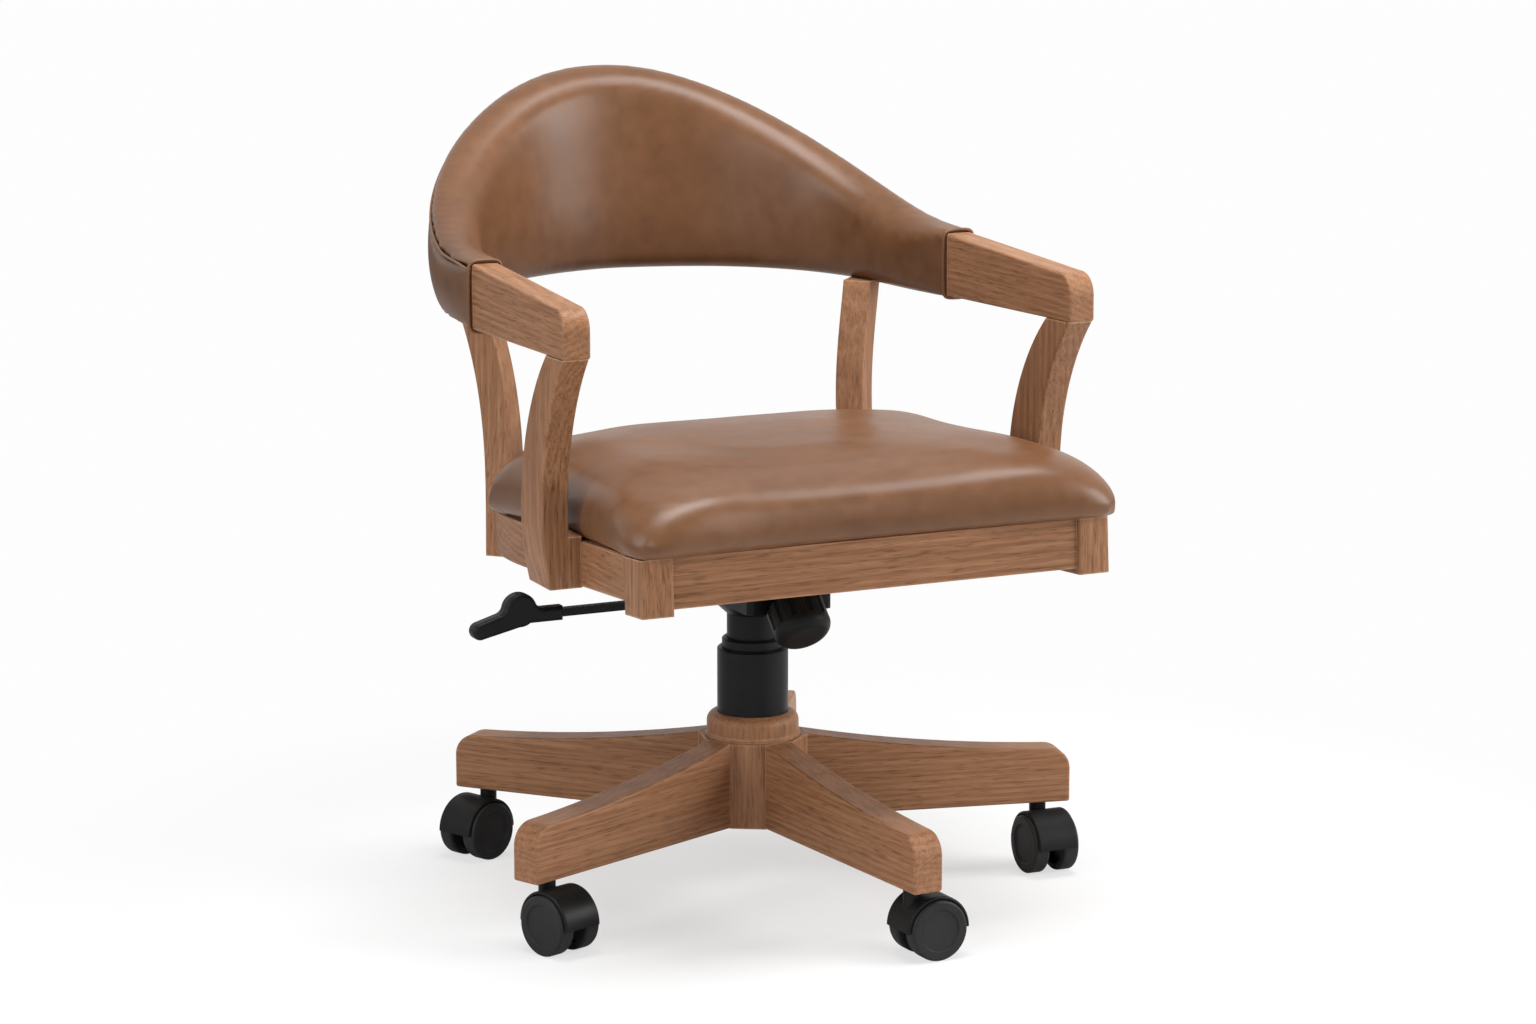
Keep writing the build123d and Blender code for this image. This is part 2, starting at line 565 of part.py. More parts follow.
save(ring(TUBE_BORE - RUNNING_FIT, CYLINDER_RADIUS + RUNNING_FIT, TUBE_TOP - BUSH_LENGTH, TUBE_TOP),
     "guide_bush")
save(ring(BEARING_RADIUS, ROD_RADIUS + RUNNING_FIT, TUBE_FLOOR + TUBE_WALL, BEARING_TOP), "thrust_bearing")

shoulder_foot = BEARING_TOP + RUNNING_FIT
piston_rod = turned(
    (0, ROD_TAIL), (ROD_RADIUS, ROD_TAIL), (ROD_RADIUS, shoulder_foot), (ROD_SHOULDER_RADIUS, shoulder_foot),
    (ROD_SHOULDER_RADIUS, shoulder_foot + ROD_SHOULDER), (ROD_RADIUS, shoulder_foot + ROD_SHOULDER),
    (ROD_RADIUS, ROD_TOP), (0, ROD_TOP))
save(piston_rod, "piston_rod")

release_well = RELEASE_RADIUS + RUNNING_FIT
gas_cylinder = turned(
    (ROD_RADIUS + RUNNING_FIT, CYLINDER_FOOT), (CYLINDER_RADIUS, CYLINDER_FOOT),
    (CYLINDER_RADIUS, HOUSING_FOOT), (SPIGOT_RADIUS, HOUSING_FOOT), (SPIGOT_RADIUS, CYLINDER_TOP),
    (release_well, CYLINDER_TOP), (release_well, CYLINDER_TOP - RELEASE_WELL),
    (0, CYLINDER_TOP - RELEASE_WELL), (0, CYLINDER_BORE_TOP), (ROD_RADIUS + RUNNING_FIT, CYLINDER_BORE_TOP))
save(gas_cylinder, "gas_cylinder")

release_top = LEVER_INNER_Z - LEVER_HEIGHT / 2 - SEAT_GAP
with BuildPart() as release_pin:
    with BuildSketch(Plane.XY.offset(release_top - RELEASE_LENGTH)):
        Circle(RELEASE_RADIUS)
    extrude(amount=RELEASE_LENGTH)
save(release_pin.part, "release_pin")

# Tilt mechanism: the housing's top lies under the seat plate in front and falls away behind the pivot
across_pivot = Plane(origin=PIVOT, x_dir=(0, 1, 0), z_dir=(1, 0, 0))
upright = Plane(origin=(0, 0, 0), x_dir=(0, 1, 0), z_dir=(1, 0, 0))
crest = PIVOT + SEAT.z_dir * (PLATE_LIFT - SEAT_GAP)
fall = tan(radians(SEAT_PITCH + TILT_RANGE + TILT_SPARE))
front_top = crest.Z + (crest.Y - HOUSING_FRONT) * tan(SLOPE)
rear_top = crest.Z - (HOUSING_REAR - crest.Y) * fall
barrel_front = -KNOB_LENGTH / 2 - SEAT_GAP
barrel_back = barrel_front - BARREL_LENGTH
half_housing = HOUSING_WIDTH / 2
lug_inner = LEVER_DEPTH / 2 + SEAT_GAP
lever_pivot = Plane(origin=(LEVER_PIVOT_X, 0, LEVER_INNER_Z), x_dir=(1, 0, 0), z_dir=(0, -1, 0))
lever_pin_reach = lug_inner + LEVER_LUG

with BuildPart() as tilt_housing:
    with BuildSketch(upright):
        with BuildLine():
            Polyline((HOUSING_FRONT, HOUSING_BOTTOM), (HOUSING_REAR, HOUSING_BOTTOM),
                     (HOUSING_REAR, rear_top), (crest.Y, crest.Z), (HOUSING_FRONT, front_top), close=True)
        make_face()
    extrude(amount=half_housing, both=True)
    fillet(tilt_housing.edges().filter_by(Axis.Z), HOUSING_ROUND)
    with BuildSketch(upright):
        with BuildLine():
            floor = HOUSING_BOTTOM + HOUSING_WALL
            Polyline((HOUSING_FRONT + HOUSING_WALL, floor), (HOUSING_REAR - HOUSING_WALL, floor),
                     (HOUSING_REAR - HOUSING_WALL, front_top + HOUSING_WALL),
                     (HOUSING_FRONT + HOUSING_WALL, front_top + HOUSING_WALL), close=True)
        make_face()
    extrude(amount=half_housing - HOUSING_WALL, both=True, mode=Mode.SUBTRACT)
    with BuildSketch(Plane.XY.offset(HOUSING_FOOT)):
        Circle(CONE_RADIUS)
    with BuildSketch(Plane.XY.offset(HOUSING_BOTTOM)):
        Circle(CONE_TOP_RADIUS)
    loft()
    with BuildSketch(Plane.XY.offset(HOUSING_BOTTOM)):
        Circle(SOCKET_BOSS_RADIUS)
    extrude(amount=SOCKET_BOSS_TOP - HOUSING_BOTTOM)
    with BuildSketch(knob_plane(barrel_back)):
        Circle(BARREL_RADIUS)
    extrude(amount=BARREL_LENGTH)
    for way in (1, -1):
        with BuildSketch(Plane.XY.offset(HOUSING_BOTTOM)):
            with Locations((LEVER_PIVOT_X, way * (lug_inner + LEVER_LUG / 2))):
                Rectangle(LEVER_LUG_WIDTH, LEVER_LUG)
        extrude(amount=LEVER_INNER_Z + LEVER_LUG_WIDTH / 2 - HOUSING_BOTTOM)
    with BuildSketch(Plane.XY.offset(HOUSING_FOOT)):
        Circle(SPIGOT_RADIUS + RUNNING_FIT)
    extrude(amount=SOCKET_BOSS_TOP - HOUSING_FOOT, mode=Mode.SUBTRACT)
    with BuildSketch(knob_plane(barrel_back)):
        Circle(BARREL_RADIUS - BARREL_WALL)
    extrude(amount=BARREL_LENGTH - BARREL_WALL, mode=Mode.SUBTRACT)
    with BuildSketch(knob_plane(barrel_back)):
        Circle(TENSION_BOLT_RADIUS + RUNNING_FIT)
    extrude(amount=BARREL_LENGTH, mode=Mode.SUBTRACT)
    with BuildSketch(across_pivot):
        Circle(PIVOT_RADIUS + RUNNING_FIT)
    extrude(amount=half_housing, both=True, mode=Mode.SUBTRACT)
    with BuildSketch(lever_pivot):
        Circle(LEVER_PIN_RADIUS + RUNNING_FIT)
    extrude(amount=lever_pin_reach, both=True, mode=Mode.SUBTRACT)
    with BuildSketch(Plane(origin=(-half_housing, 0, LEVER_INNER_Z), x_dir=(0, 1, 0), z_dir=(1, 0, 0))):
        Rectangle(LEVER_DEPTH + 2 * LEVER_SLOT_ROOM, LEVER_HEIGHT + 2 * LEVER_SLOT_ROOM)
    extrude(amount=HOUSING_WALL, mode=Mode.SUBTRACT)
save(tilt_housing.part, "tilt_housing")

with BuildPart() as tilt_axle:
    with BuildSketch(across_pivot):
        Circle(PIVOT_RADIUS)
    extrude(amount=EAR_INNER + PLATE_THICKNESS + AXLE_OVERHANG, both=True)
save(tilt_axle.part, "tilt_axle")

with BuildPart() as lever_pin:
    with BuildSketch(lever_pivot):
        Circle(LEVER_PIN_RADIUS)
    extrude(amount=lever_pin_reach, both=True)
save(lever_pin.part, "lever_pin")

with BuildPart() as tension_bolt:
    with BuildSketch(knob_plane(barrel_back)):
        Circle(TENSION_BOLT_RADIUS)
    extrude(amount=BARREL_LENGTH + SEAT_GAP + TENSION_BOLT_IN_KNOB)
    with BuildSketch(knob_plane(barrel_back)):
        Circle(TENSION_HEAD_RADIUS)
    extrude(amount=TENSION_HEAD)
save(tension_bolt.part, "tension_bolt")

with BuildPart() as tension_spring:
    with BuildSketch(knob_plane(barrel_back + TENSION_HEAD)):
        Circle(BARREL_RADIUS - BARREL_WALL - SPRING_CLEAR)
        Circle(TENSION_BOLT_RADIUS + SPRING_CLEAR, mode=Mode.SUBTRACT)
    extrude(amount=BARREL_LENGTH - BARREL_WALL - TENSION_HEAD)
save(tension_spring.part, "tension_spring")

with BuildPart() as tension_knob:
    with BuildSketch(knob_plane(-KNOB_LENGTH / 2)):
        Circle(KNOB_RADIUS)
    extrude(amount=KNOB_LENGTH)
    rims = tension_knob.edges().filter_by(GeomType.CIRCLE)
    fillet(rims.sort_by_distance(knob_plane(KNOB_LENGTH).origin)[0], KNOB_ROUND)
    with BuildSketch(knob_plane(-KNOB_LENGTH / 2)):
        with PolarLocations(KNOB_RADIUS + KNOB_FLUTE_RADIUS - KNOB_FLUTE_DEPTH, KNOB_FLUTES):
            Circle(KNOB_FLUTE_RADIUS)
    extrude(amount=KNOB_FLUTE_LENGTH, mode=Mode.SUBTRACT)
    with BuildSketch(knob_plane(-KNOB_LENGTH / 2)):
        Circle(TENSION_BOLT_RADIUS + RUNNING_FIT)
    extrude(amount=TENSION_BOLT_IN_KNOB + SEAT_GAP, mode=Mode.SUBTRACT)
save(tension_knob.part, "tension_knob")

# Height lever
with BuildPart() as lever_rod:
    with BuildLine(Plane.XZ):
        FilletPolyline((LEVER_OUTER_X, LEVER_Z), (LEVER_BEND_X, LEVER_Z), (LEVER_RISE_X, LEVER_INNER_Z),
                       (LEVER_INNER_X, LEVER_INNER_Z), radius=LEVER_BEND_RADIUS)
    with BuildSketch(Plane(origin=(LEVER_OUTER_X, 0, LEVER_Z), x_dir=(0, 1, 0), z_dir=(1, 0, 0))):
        Rectangle(LEVER_DEPTH, LEVER_HEIGHT)
    sweep()
    with BuildSketch(lever_pivot):
        Circle(LEVER_PIN_RADIUS + RUNNING_FIT)
    extrude(amount=LEVER_DEPTH, both=True, mode=Mode.SUBTRACT)
save(lever_rod.part, "lever_rod")

with BuildPart() as lever_paddle:
    with BuildSketch(Plane.XZ):
        with Locations((PADDLE_TIP[0], LEVER_Z + PADDLE_TIP[1])):
            Circle(PADDLE_TIP_RADIUS)
        with Locations((PADDLE_LOBE[0], LEVER_Z)):
            Circle(PADDLE_ROOT_RADIUS)
        make_hull()
        with Locations((PADDLE_LOBE[0], LEVER_Z + PADDLE_LOBE[1])):
            Circle(PADDLE_LOBE_RADIUS)
        with Locations(((PADDLE_LOBE[0] + PADDLE_SOCKET_X) / 2, LEVER_Z)):
            Rectangle(PADDLE_SOCKET_X - PADDLE_LOBE[0], PADDLE_SOCKET_HEIGHT)
    extrude(amount=PADDLE_DEPTH / 2, both=True)
    across = lever_paddle.edges().filter_by(Axis.Y).sort_by(Axis.X)[:-2]
    fillet(across.filter_by(lambda edge: edge.center().Z > LEVER_Z), PADDLE_BLEND)
    fillet(lever_paddle.edges().filter_by(Plane.XZ), PADDLE_ROUND)
    add(lever_rod.part, mode=Mode.SUBTRACT)
save(lever_paddle.part, "lever_paddle")

# Rear posts
with BuildPart() as back_post:
    for middle in BACK_POST_MIDDLES:
        with BuildSketch(Plane(origin=middle)):
            RectangleRounded(BACK_POST_SIDE, BACK_POST_SIDE, WOOD_EASE, rotation=45)
    loft()

# Seat frame
with BuildPart() as stile_left:
    with BuildSketch(seat_plane(-STILE_DROP)):
        with Locations((STILE_OUTER - STILE_WIDTH / 2, STILE_DEPTH / 2)):
            Rectangle(STILE_WIDTH, STILE_DEPTH)
    extrude(amount=RAIL_HEIGHT + STILE_DROP)
    fillet(stile_left.edges().filter_by(lambda edge: edge.length > RAIL_HEIGHT), WOOD_EASE)
save(stile_left.part, "stile_left")
save(mirrored(stile_left.part), "stile_right")

with BuildPart() as rail_front:
    with BuildSketch(seat_plane(0)):
        with Locations((0, FRONT_RAIL_SET_BACK + RAIL_THICKNESS / 2)):
            Rectangle(2 * (STILE_OUTER - STILE_WIDTH), RAIL_THICKNESS)
    extrude(amount=RAIL_HEIGHT)
    fillet(rail_front.edges().filter_by(Axis.X), RAIL_EASE)
save(rail_front.part, "rail_front")

post_foot = SEAT.to_local_coords(Vector(*BACK_POST_MIDDLES[0]))
half_rail = RAIL_THICKNESS / 2
with BuildPart() as rail_left:
    with BuildSketch(seat_plane(SIDE_RAIL_RISE)):
        with BuildLine():
            straight = Line((SIDE_RAIL_FRONT - half_rail, STILE_DEPTH),
                            (SIDE_RAIL_BEND[0] - half_rail, SIDE_RAIL_BEND[1]))
            TangentArc(straight @ 1, (post_foot.X, post_foot.Y), tangent=straight % 1)
        trace(line_width=RAIL_THICKNESS)
    extrude(amount=RAIL_HEIGHT - SIDE_RAIL_RISE)
    chamfer(rail_left.edges().filter_by(lambda edge: edge.length > RAIL_HEIGHT), RAIL_EASE)
    add(back_post.part, mode=Mode.SUBTRACT)
    add(stile_left.part, mode=Mode.SUBTRACT)
save(rail_left.part, "rail_left")
rail_right = mirrored(rail_left.part)
save(rail_right, "rail_right")

back_post_right = mirrored(back_post.part)
with BuildPart() as rail_rear:
    with BuildSketch(seat_plane(SIDE_RAIL_RISE)):
        with Locations((0, post_foot.Y)):
            Rectangle(2 * post_foot.X, RAIL_THICKNESS)
    extrude(amount=RAIL_HEIGHT - SIDE_RAIL_RISE)
    add(back_post.part, mode=Mode.SUBTRACT)
    add(back_post_right, mode=Mode.SUBTRACT)
save(rail_rear.part, "rail_rear")

bolt_spots = [(way * PLATE_BOLT_SPACING / 2, depth) for way in (1, -1) for depth in BATTEN_DEPTHS]
with BuildPart() as seat_battens:
    for depth in BATTEN_DEPTHS:
        with BuildSketch(seat_plane(BATTEN_UNDERSIDE)):
            with Locations((0, depth)):
                Rectangle(2 * (SIDE_RAIL_BEND[0] - half_rail), BATTEN_WIDTH)
        extrude(amount=BATTEN_THICKNESS)
    add(rail_left.part, mode=Mode.SUBTRACT)
    add(rail_right, mode=Mode.SUBTRACT)
    with BuildSketch(seat_plane(BATTEN_UNDERSIDE)):
        with Locations(*bolt_spots):
            Circle(PLATE_BOLT_RADIUS + RUNNING_FIT)
    extrude(amount=PLATE_BOLT_IN_BATTEN, mode=Mode.SUBTRACT)
save(seat_battens.part, "seat_battens")

with BuildPart() as seat_plate:
    with BuildSketch(seat_plane(PLATE_UNDERSIDE)):
        with Locations((0, sum(PLATE_DEPTHS) / 2)):
            RectangleRounded(PLATE_WIDTH, PLATE_DEPTHS[1] - PLATE_DEPTHS[0], PLATE_CORNER)
        with Locations(*bolt_spots):
            Circle(PLATE_BOLT_RADIUS + RUNNING_FIT, mode=Mode.SUBTRACT)
    extrude(amount=PLATE_THICKNESS)
    for way in (1, -1):
        with BuildSketch(seat_plane(PIVOT_HEIGHT - EAR_BELOW_PIVOT)):
            with Locations((way * (EAR_INNER + PLATE_THICKNESS / 2), PIVOT_DEPTH)):
                Rectangle(PLATE_THICKNESS, EAR_WIDTH)
        extrude(amount=PLATE_LIFT + EAR_BELOW_PIVOT)
    with BuildSketch(across_pivot):
        Circle(PIVOT_RADIUS + RUNNING_FIT)
    extrude(amount=EAR_INNER + PLATE_THICKNESS, both=True, mode=Mode.SUBTRACT)
save(seat_plate.part, "seat_plate")

with BuildPart() as plate_bolts:
    with BuildSketch(seat_plane(PLATE_UNDERSIDE)):
        with Locations(*bolt_spots):
            Circle(PLATE_BOLT_RADIUS)
    extrude(amount=PLATE_THICKNESS + PLATE_BOLT_IN_BATTEN)
    with BuildSketch(seat_plane(PLATE_UNDERSIDE - PLATE_BOLT_HEAD)):
        with Locations(*bolt_spots):
            RegularPolygon(PLATE_BOLT_HEAD_RADIUS, 6)
    extrude(amount=PLATE_BOLT_HEAD)
save(plate_bolts.part, "plate_bolts")

board_half = STILE_OUTER - STILE_WIDTH - BOARD_CLEAR
board_rear = post_foot.Y - half_rail - BOARD_CLEAR
with BuildPart() as seat_board:
    with BuildSketch(seat_plane(RAIL_HEIGHT - BOARD_THICKNESS)):
        with Locations((0, (FRONT_RAIL_SET_BACK + RAIL_THICKNESS + BOARD_CLEAR + board_rear) / 2)):
            Rectangle(2 * board_half, board_rear - FRONT_RAIL_SET_BACK - RAIL_THICKNESS - BOARD_CLEAR)
    extrude(amount=BOARD_THICKNESS)
    for piece in (rail_left.part, rail_right, back_post.part, back_post_right):
        add(piece, mode=Mode.SUBTRACT)
save(seat_board.solids().sort_by(SortBy.VOLUME)[-1], "seat_board")


# Seat cushion: outlines stacked from the frame up, levelling towards the crown
def cushion_outline(inset, corner):
    """Outline whose four sides pull in between rounded corners, in the sketch at hand."""
    front = -CUSHION_FRONT_REACH + inset
    rear = CUSHION_REAR_REACH - inset
    front_half = CUSHION_FRONT_HALF - inset
    rear_half = CUSHION_REAR_HALF - inset
    side_half = (front_half + rear_half) / 2 - CUSHION_SIDE_DRAW_IN
    with BuildLine() as outline:
        ThreePointArc((-front_half, front), (0, front + CUSHION_DRAW_IN), (front_half, front))
        ThreePointArc((front_half, front), (side_half, (front + rear) / 2), (rear_half, rear))
        ThreePointArc((rear_half, rear), (0, rear - CUSHION_DRAW_IN), (-rear_half, rear))
        ThreePointArc((-rear_half, rear), (-side_half, (front + rear) / 2), (-front_half, front))
    face = make_face(outline.edges())
    fillet(face.vertices(), corner)


cushion_seat = SEAT.from_local_coords((0, CUSHION_DEPTH, RAIL_HEIGHT))
with BuildPart() as seat_cushion:
    for height, pitch, inset, corner in CUSHION_LEVELS:
        tilt = radians(pitch)
        with BuildSketch(Plane(origin=cushion_seat + Vector(0, 0, height), x_dir=(1, 0, 0),
                               z_dir=(0, sin(tilt), cos(tilt)))):
            cushion_outline(inset, corner)
    loft(ruled=True)
save(seat_cushion.part, "seat_cushion")


# Arms: drawn on the plane of the outer face, x along the arm and y up
arm_side = Plane(origin=(ARM_OUTER, ARM_FRONT, 0), x_dir=(-sin(SPLAY), cos(SPLAY), 0),
                 z_dir=(cos(SPLAY), sin(SPLAY), 0))
arm_end = Plane(origin=arm_side.from_local_coords((ARM_LENGTH, 0, 0)), z_dir=arm_side.x_dir)
back_end = upright_plane(arm_end.origin - arm_side.z_dir * (BACK_OUTER - SLEEVE_PROUD), ARM_SPLAY)
tongue_middle = ((CORE_INNER + CORE_OUTER) / 2, BACK_UNDERSIDE + CORE_INSET + TONGUE_RISE + TONGUE_HEIGHT / 2)

with BuildPart() as arm_left:
    with BuildSketch(arm_side):
        with BuildLine():
            Polyline((0, ARM_FRONT_UNDERSIDE), (ARM_LENGTH, ARM_REAR_UNDERSIDE), (ARM_LENGTH, ARM_REAR_TOP),
                     (0, ARM_FRONT_TOP), close=True)
        face = make_face()
        fillet(face.vertices().sort_by_distance((0, ARM_FRONT_TOP, 0))[0], ARM_FRONT_ROUND)
    extrude(amount=-ARM_THICKNESS)
    fillet(arm_left.edges().filter_by(lambda edge: arm_end.to_local_coords(edge.center()).Z < -WOOD_EASE),
           WOOD_EASE)
    end_face = arm_left.faces().sort_by_distance(arm_end.from_local_coords((0, 0, ARM_LENGTH)))[0]
    with BuildSketch(Plane(end_face)):
        add(end_face)
        offset(amount=-ARM_NECK, mode=Mode.SUBTRACT)
    extrude(amount=-ARM_NECK, mode=Mode.SUBTRACT)
    with BuildSketch(back_end):
        with Locations(tongue_middle):
            Rectangle(CORE_THICKNESS + 2 * JOINT_GAP, TONGUE_HEIGHT + 2 * JOINT_GAP)
    extrude(amount=TONGUE_LENGTH + JOINT_GAP, mode=Mode.SUBTRACT)
save(arm_left.part, "arm_left")
save(mirrored(arm_left.part), "arm_right")


# Arm posts: a swept side profile, cut to a front profile that is lapped on the side rail
def arm_underside(along_y):
    """Height of the arm's underside, less a fit."""
    fall = (ARM_FRONT_UNDERSIDE - ARM_REAR_UNDERSIDE) / ARM_LENGTH
    return ARM_FRONT_UNDERSIDE - fall * (along_y - ARM_FRONT) - RUNNING_FIT


across_arm = Plane(origin=arm_side.origin, x_dir=arm_side.z_dir, z_dir=-arm_side.x_dir)
lap_reach = SIDE_RAIL_FRONT - ARM_OUTER - WOOD_EASE
with BuildPart() as arm_post_left:
    with BuildSketch(upright):
        with BuildLine():
            front = Line((ARM_POST_FRONT[0], ARM_POST_FOOT), ARM_POST_FRONT)
            front_sweep = TangentArc(front @ 1, (ARM_POST_TOP_FRONT, arm_underside(ARM_POST_TOP_FRONT)),
                                     tangent=front % 1)
            rear = Line((ARM_POST_REAR[0], ARM_POST_FOOT), ARM_POST_REAR)
            rear_sweep = TangentArc(rear @ 1, (ARM_POST_TOP_REAR, arm_underside(ARM_POST_TOP_REAR)),
                                    tangent=rear % 1)
            Line(front @ 0, rear @ 0)
            Line(front_sweep @ 1, rear_sweep @ 1)
        make_face()
    extrude(amount=ARM_OUTER)
    with BuildSketch(across_arm):
        with BuildLine():
            face = Line((0, ARM_FRONT_TOP), (0, ARM_POST_DRAW_START))
            foot = TangentArc(face @ 1, (-ARM_POST_DRAW_IN, ARM_POST_FOOT), tangent=face % 1)
            Polyline(foot @ 1, (lap_reach, ARM_POST_FOOT), (lap_reach, ARM_POST_LAP_TOP),
                     (-ARM_THICKNESS, ARM_POST_LAP_TOP), (-ARM_THICKNESS, ARM_FRONT_TOP), face @ 0)
        make_face()
    extrude(amount=-ARM_LENGTH, mode=Mode.INTERSECT)
    fillet(arm_post_left.edges().filter_by(lambda edge: abs((edge % 0.5).Z) > STEEP), WOOD_EASE)
    add(rail_left.part, mode=Mode.SUBTRACT)
save(arm_post_left.part, "arm_post_left")
save(mirrored(arm_post_left.part), "arm_post_right")


# Barrel back: upright sections from one arm round to the other
def rim_height(angle):
    """Height of the back's rim at an angle round the curve."""
    turn = sin(radians(angle))
    share = RIM_LEVEL_SHARE * turn + (1 - RIM_LEVEL_SHARE) * turn**2
    return RIM_SIDE + (RIM_TOP - RIM_SIDE) * share


back_centre = Vector(0, BACK_CENTRE_Y, 0)
run_middle = back_end.origin + (back_centre - back_end.origin) * BACK_RUN_SHARE
run_rim = SLEEVE_TOP + (RIM_SIDE - SLEEVE_TOP) * BACK_RUN_SHARE
half_sections = [(back_end.origin, ARM_SPLAY, 0, SLEEVE_TOP),
                 (run_middle, ARM_SPLAY / 2, PAD_END_SWELL, run_rim)]
half_sections += [(back_centre, angle, 1, rim_height(angle)) for angle in BACK_ANGLES]
other_half = [(Vector(-origin.X, origin.Y, 0), 180 - angle, swell, rim)
              for origin, angle, swell, rim in reversed(half_sections)]
back_sections = half_sections + [(back_centre, QUARTER_TURN, 1, RIM_TOP)] + other_half


def leaned(angle):
    """Function that places a radius and a height on a section with the back's lean."""
    lean = LEAN * sin(radians(angle))
    return lambda radius, height: (radius + lean * (height - BACK_UNDERSIDE), height)


def quarter(at, middle, radius, way_x, way_y):
    """Mid-point of a quarter round."""
    return at(middle[0] + way_x * radius * cos(radians(45)), middle[1] + way_y * radius * sin(radians(45)))


def rim_drop(swell):
    """Rim to the piped edge, which climbs to the upper edge of the sleeve at the arm."""
    return SLEEVE_ROUND + swell * (PAD_RIM_DROP - SLEEVE_ROUND)


def back_foot(angle):
    """Height of the back's lower edge."""
    return BACK_UNDERSIDE + BACK_UNDERSIDE_RISE * sin(radians(angle))


def pad_outline(angle, swell, rim):
    """Padded inside, rolled over the rim to the piped edge."""
    at = leaned(angle)
    back = CORE_INNER - JOINT_GAP
    inner = PAD_END_INNER - swell * (PAD_END_INNER - BACK_INNER)
    lower = PAD_LOWER_SHARE * (back - inner)
    drop = rim_drop(swell)
    full = BACK_OUTER - BACK_INNER - PAD_RIM_DROP - PAD_RIM_FLAT
    upper = SLEEVE_ROUND + swell * (full - SLEEVE_ROUND)
    foot = back_foot(angle)
    ledge = rim - drop
    crest = BACK_OUTER - drop
    with BuildLine() as outline:
        Line(at(back, foot), at(inner + lower, foot))
        ThreePointArc(at(inner + lower, foot), quarter(at, (inner + lower, foot + lower), lower, -1, -1),
                      at(inner, foot + lower))
        Line(at(inner, foot + lower), at(inner, rim - upper))
        ThreePointArc(at(inner, rim - upper), quarter(at, (inner + upper, rim - upper), upper, -1, 1),
                      at(inner + upper, rim))
        Line(at(inner + upper, rim), at(crest, rim))
        ThreePointArc(at(crest, rim), quarter(at, (crest, ledge), drop, 1, 1), at(BACK_OUTER, ledge))
        Polyline(at(BACK_OUTER, ledge), at(back, ledge), at(back, foot))
    make_face(outline.edges())


def core_outline(angle, swell, rim):
    """Bent board between the padding and the outer leather."""
    at = leaned(angle)
    foot = back_foot(angle) + CORE_INSET
    top = rim - rim_drop(swell) - JOINT_GAP
    with BuildLine() as outline:
        Polyline(at(CORE_INNER, foot), at(CORE_OUTER, foot), at(CORE_OUTER, top), at(CORE_INNER, top),
                 close=True)
    make_face(outline.edges())


def cover_outline(angle, swell, rim):
    """Outer leather, fullest at half height and drawn in at the lower edge."""
    at = leaned(angle)
    fullness = SLEEVE_FULLNESS + swell * (1 - SLEEVE_FULLNESS)
    belly = BACK_OUTER + fullness * BACK_BELLY_SWELL
    outer_foot = BACK_OUTER - fullness * BACK_FOOT_SET_IN
    inner = CORE_OUTER + JOINT_GAP
    foot = back_foot(angle)
    top = rim - rim_drop(swell) - JOINT_GAP
    with BuildLine() as outline:
        Polyline(at(outer_foot, foot), at(inner, foot), at(inner, top), at(BACK_OUTER, top))
        ThreePointArc(at(BACK_OUTER, top), at(belly, (foot + top) / 2), at(outer_foot, foot))
    make_face(outline.edges())


def make_back(outline):
    """One layer of the back, lofted through its outlines."""
    with BuildPart() as layer:
        for origin, angle, swell, rim in back_sections:
            with BuildSketch(upright_plane(origin, angle)):
                outline(angle, swell, rim)
        loft()
    return layer.part


back_pad = make_back(pad_outline)
back_cover = make_back(cover_outline)
save(back_pad, "back_pad")
save(back_cover, "back_cover")

with BuildPart() as tongue:
    with BuildSketch(back_end):
        with Locations(tongue_middle):
            Rectangle(CORE_THICKNESS, TONGUE_HEIGHT)
    extrude(amount=TONGUE_LENGTH)
with BuildPart() as back_core:
    add(make_back(core_outline))
    add(tongue.part)
    add(mirrored(tongue.part))
save(back_core.part, "back_core")

with BuildPart() as back_post_left:
    add(back_post.part)
    for layer in (back_pad, back_core.part, back_cover):
        add(layer, mode=Mode.SUBTRACT)
    split(bisect_by=Plane.XY.offset(BACK_POST_MIDDLES[-1][2]), keep=Keep.BOTTOM)
save(back_post_left.part, "back_post_left")
save(mirrored(back_post_left.part), "back_post_right")
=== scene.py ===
"""A swivel desk chair in its finished looks: stained wood, brown leather and black fittings.

Metres. The origin is on the floor under the column, +Z is up and the chair faces -Y.
"""

import math

import bpy
import numpy as np
from bpy.props import FloatProperty, FloatVectorProperty, IntProperty, PointerProperty
from bpy.types import Operator, Panel, PropertyGroup
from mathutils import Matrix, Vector, noise


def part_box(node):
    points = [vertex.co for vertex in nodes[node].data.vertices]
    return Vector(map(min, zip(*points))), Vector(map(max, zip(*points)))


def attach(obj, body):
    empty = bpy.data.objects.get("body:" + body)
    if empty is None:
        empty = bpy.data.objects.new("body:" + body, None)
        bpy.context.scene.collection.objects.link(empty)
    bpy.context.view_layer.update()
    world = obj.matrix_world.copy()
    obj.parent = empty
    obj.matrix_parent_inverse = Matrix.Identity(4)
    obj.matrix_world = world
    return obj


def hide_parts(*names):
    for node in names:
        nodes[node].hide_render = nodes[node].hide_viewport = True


bl_info = {
    "name": "Desk Chair Looks",
    "version": (1, 0, 0),
    "blender": (4, 5, 0),
    "location": "View3D > Sidebar > Desk Chair",
    "description": "Stains, upholsters and lights a swivel desk chair",
    "category": "Object",
}

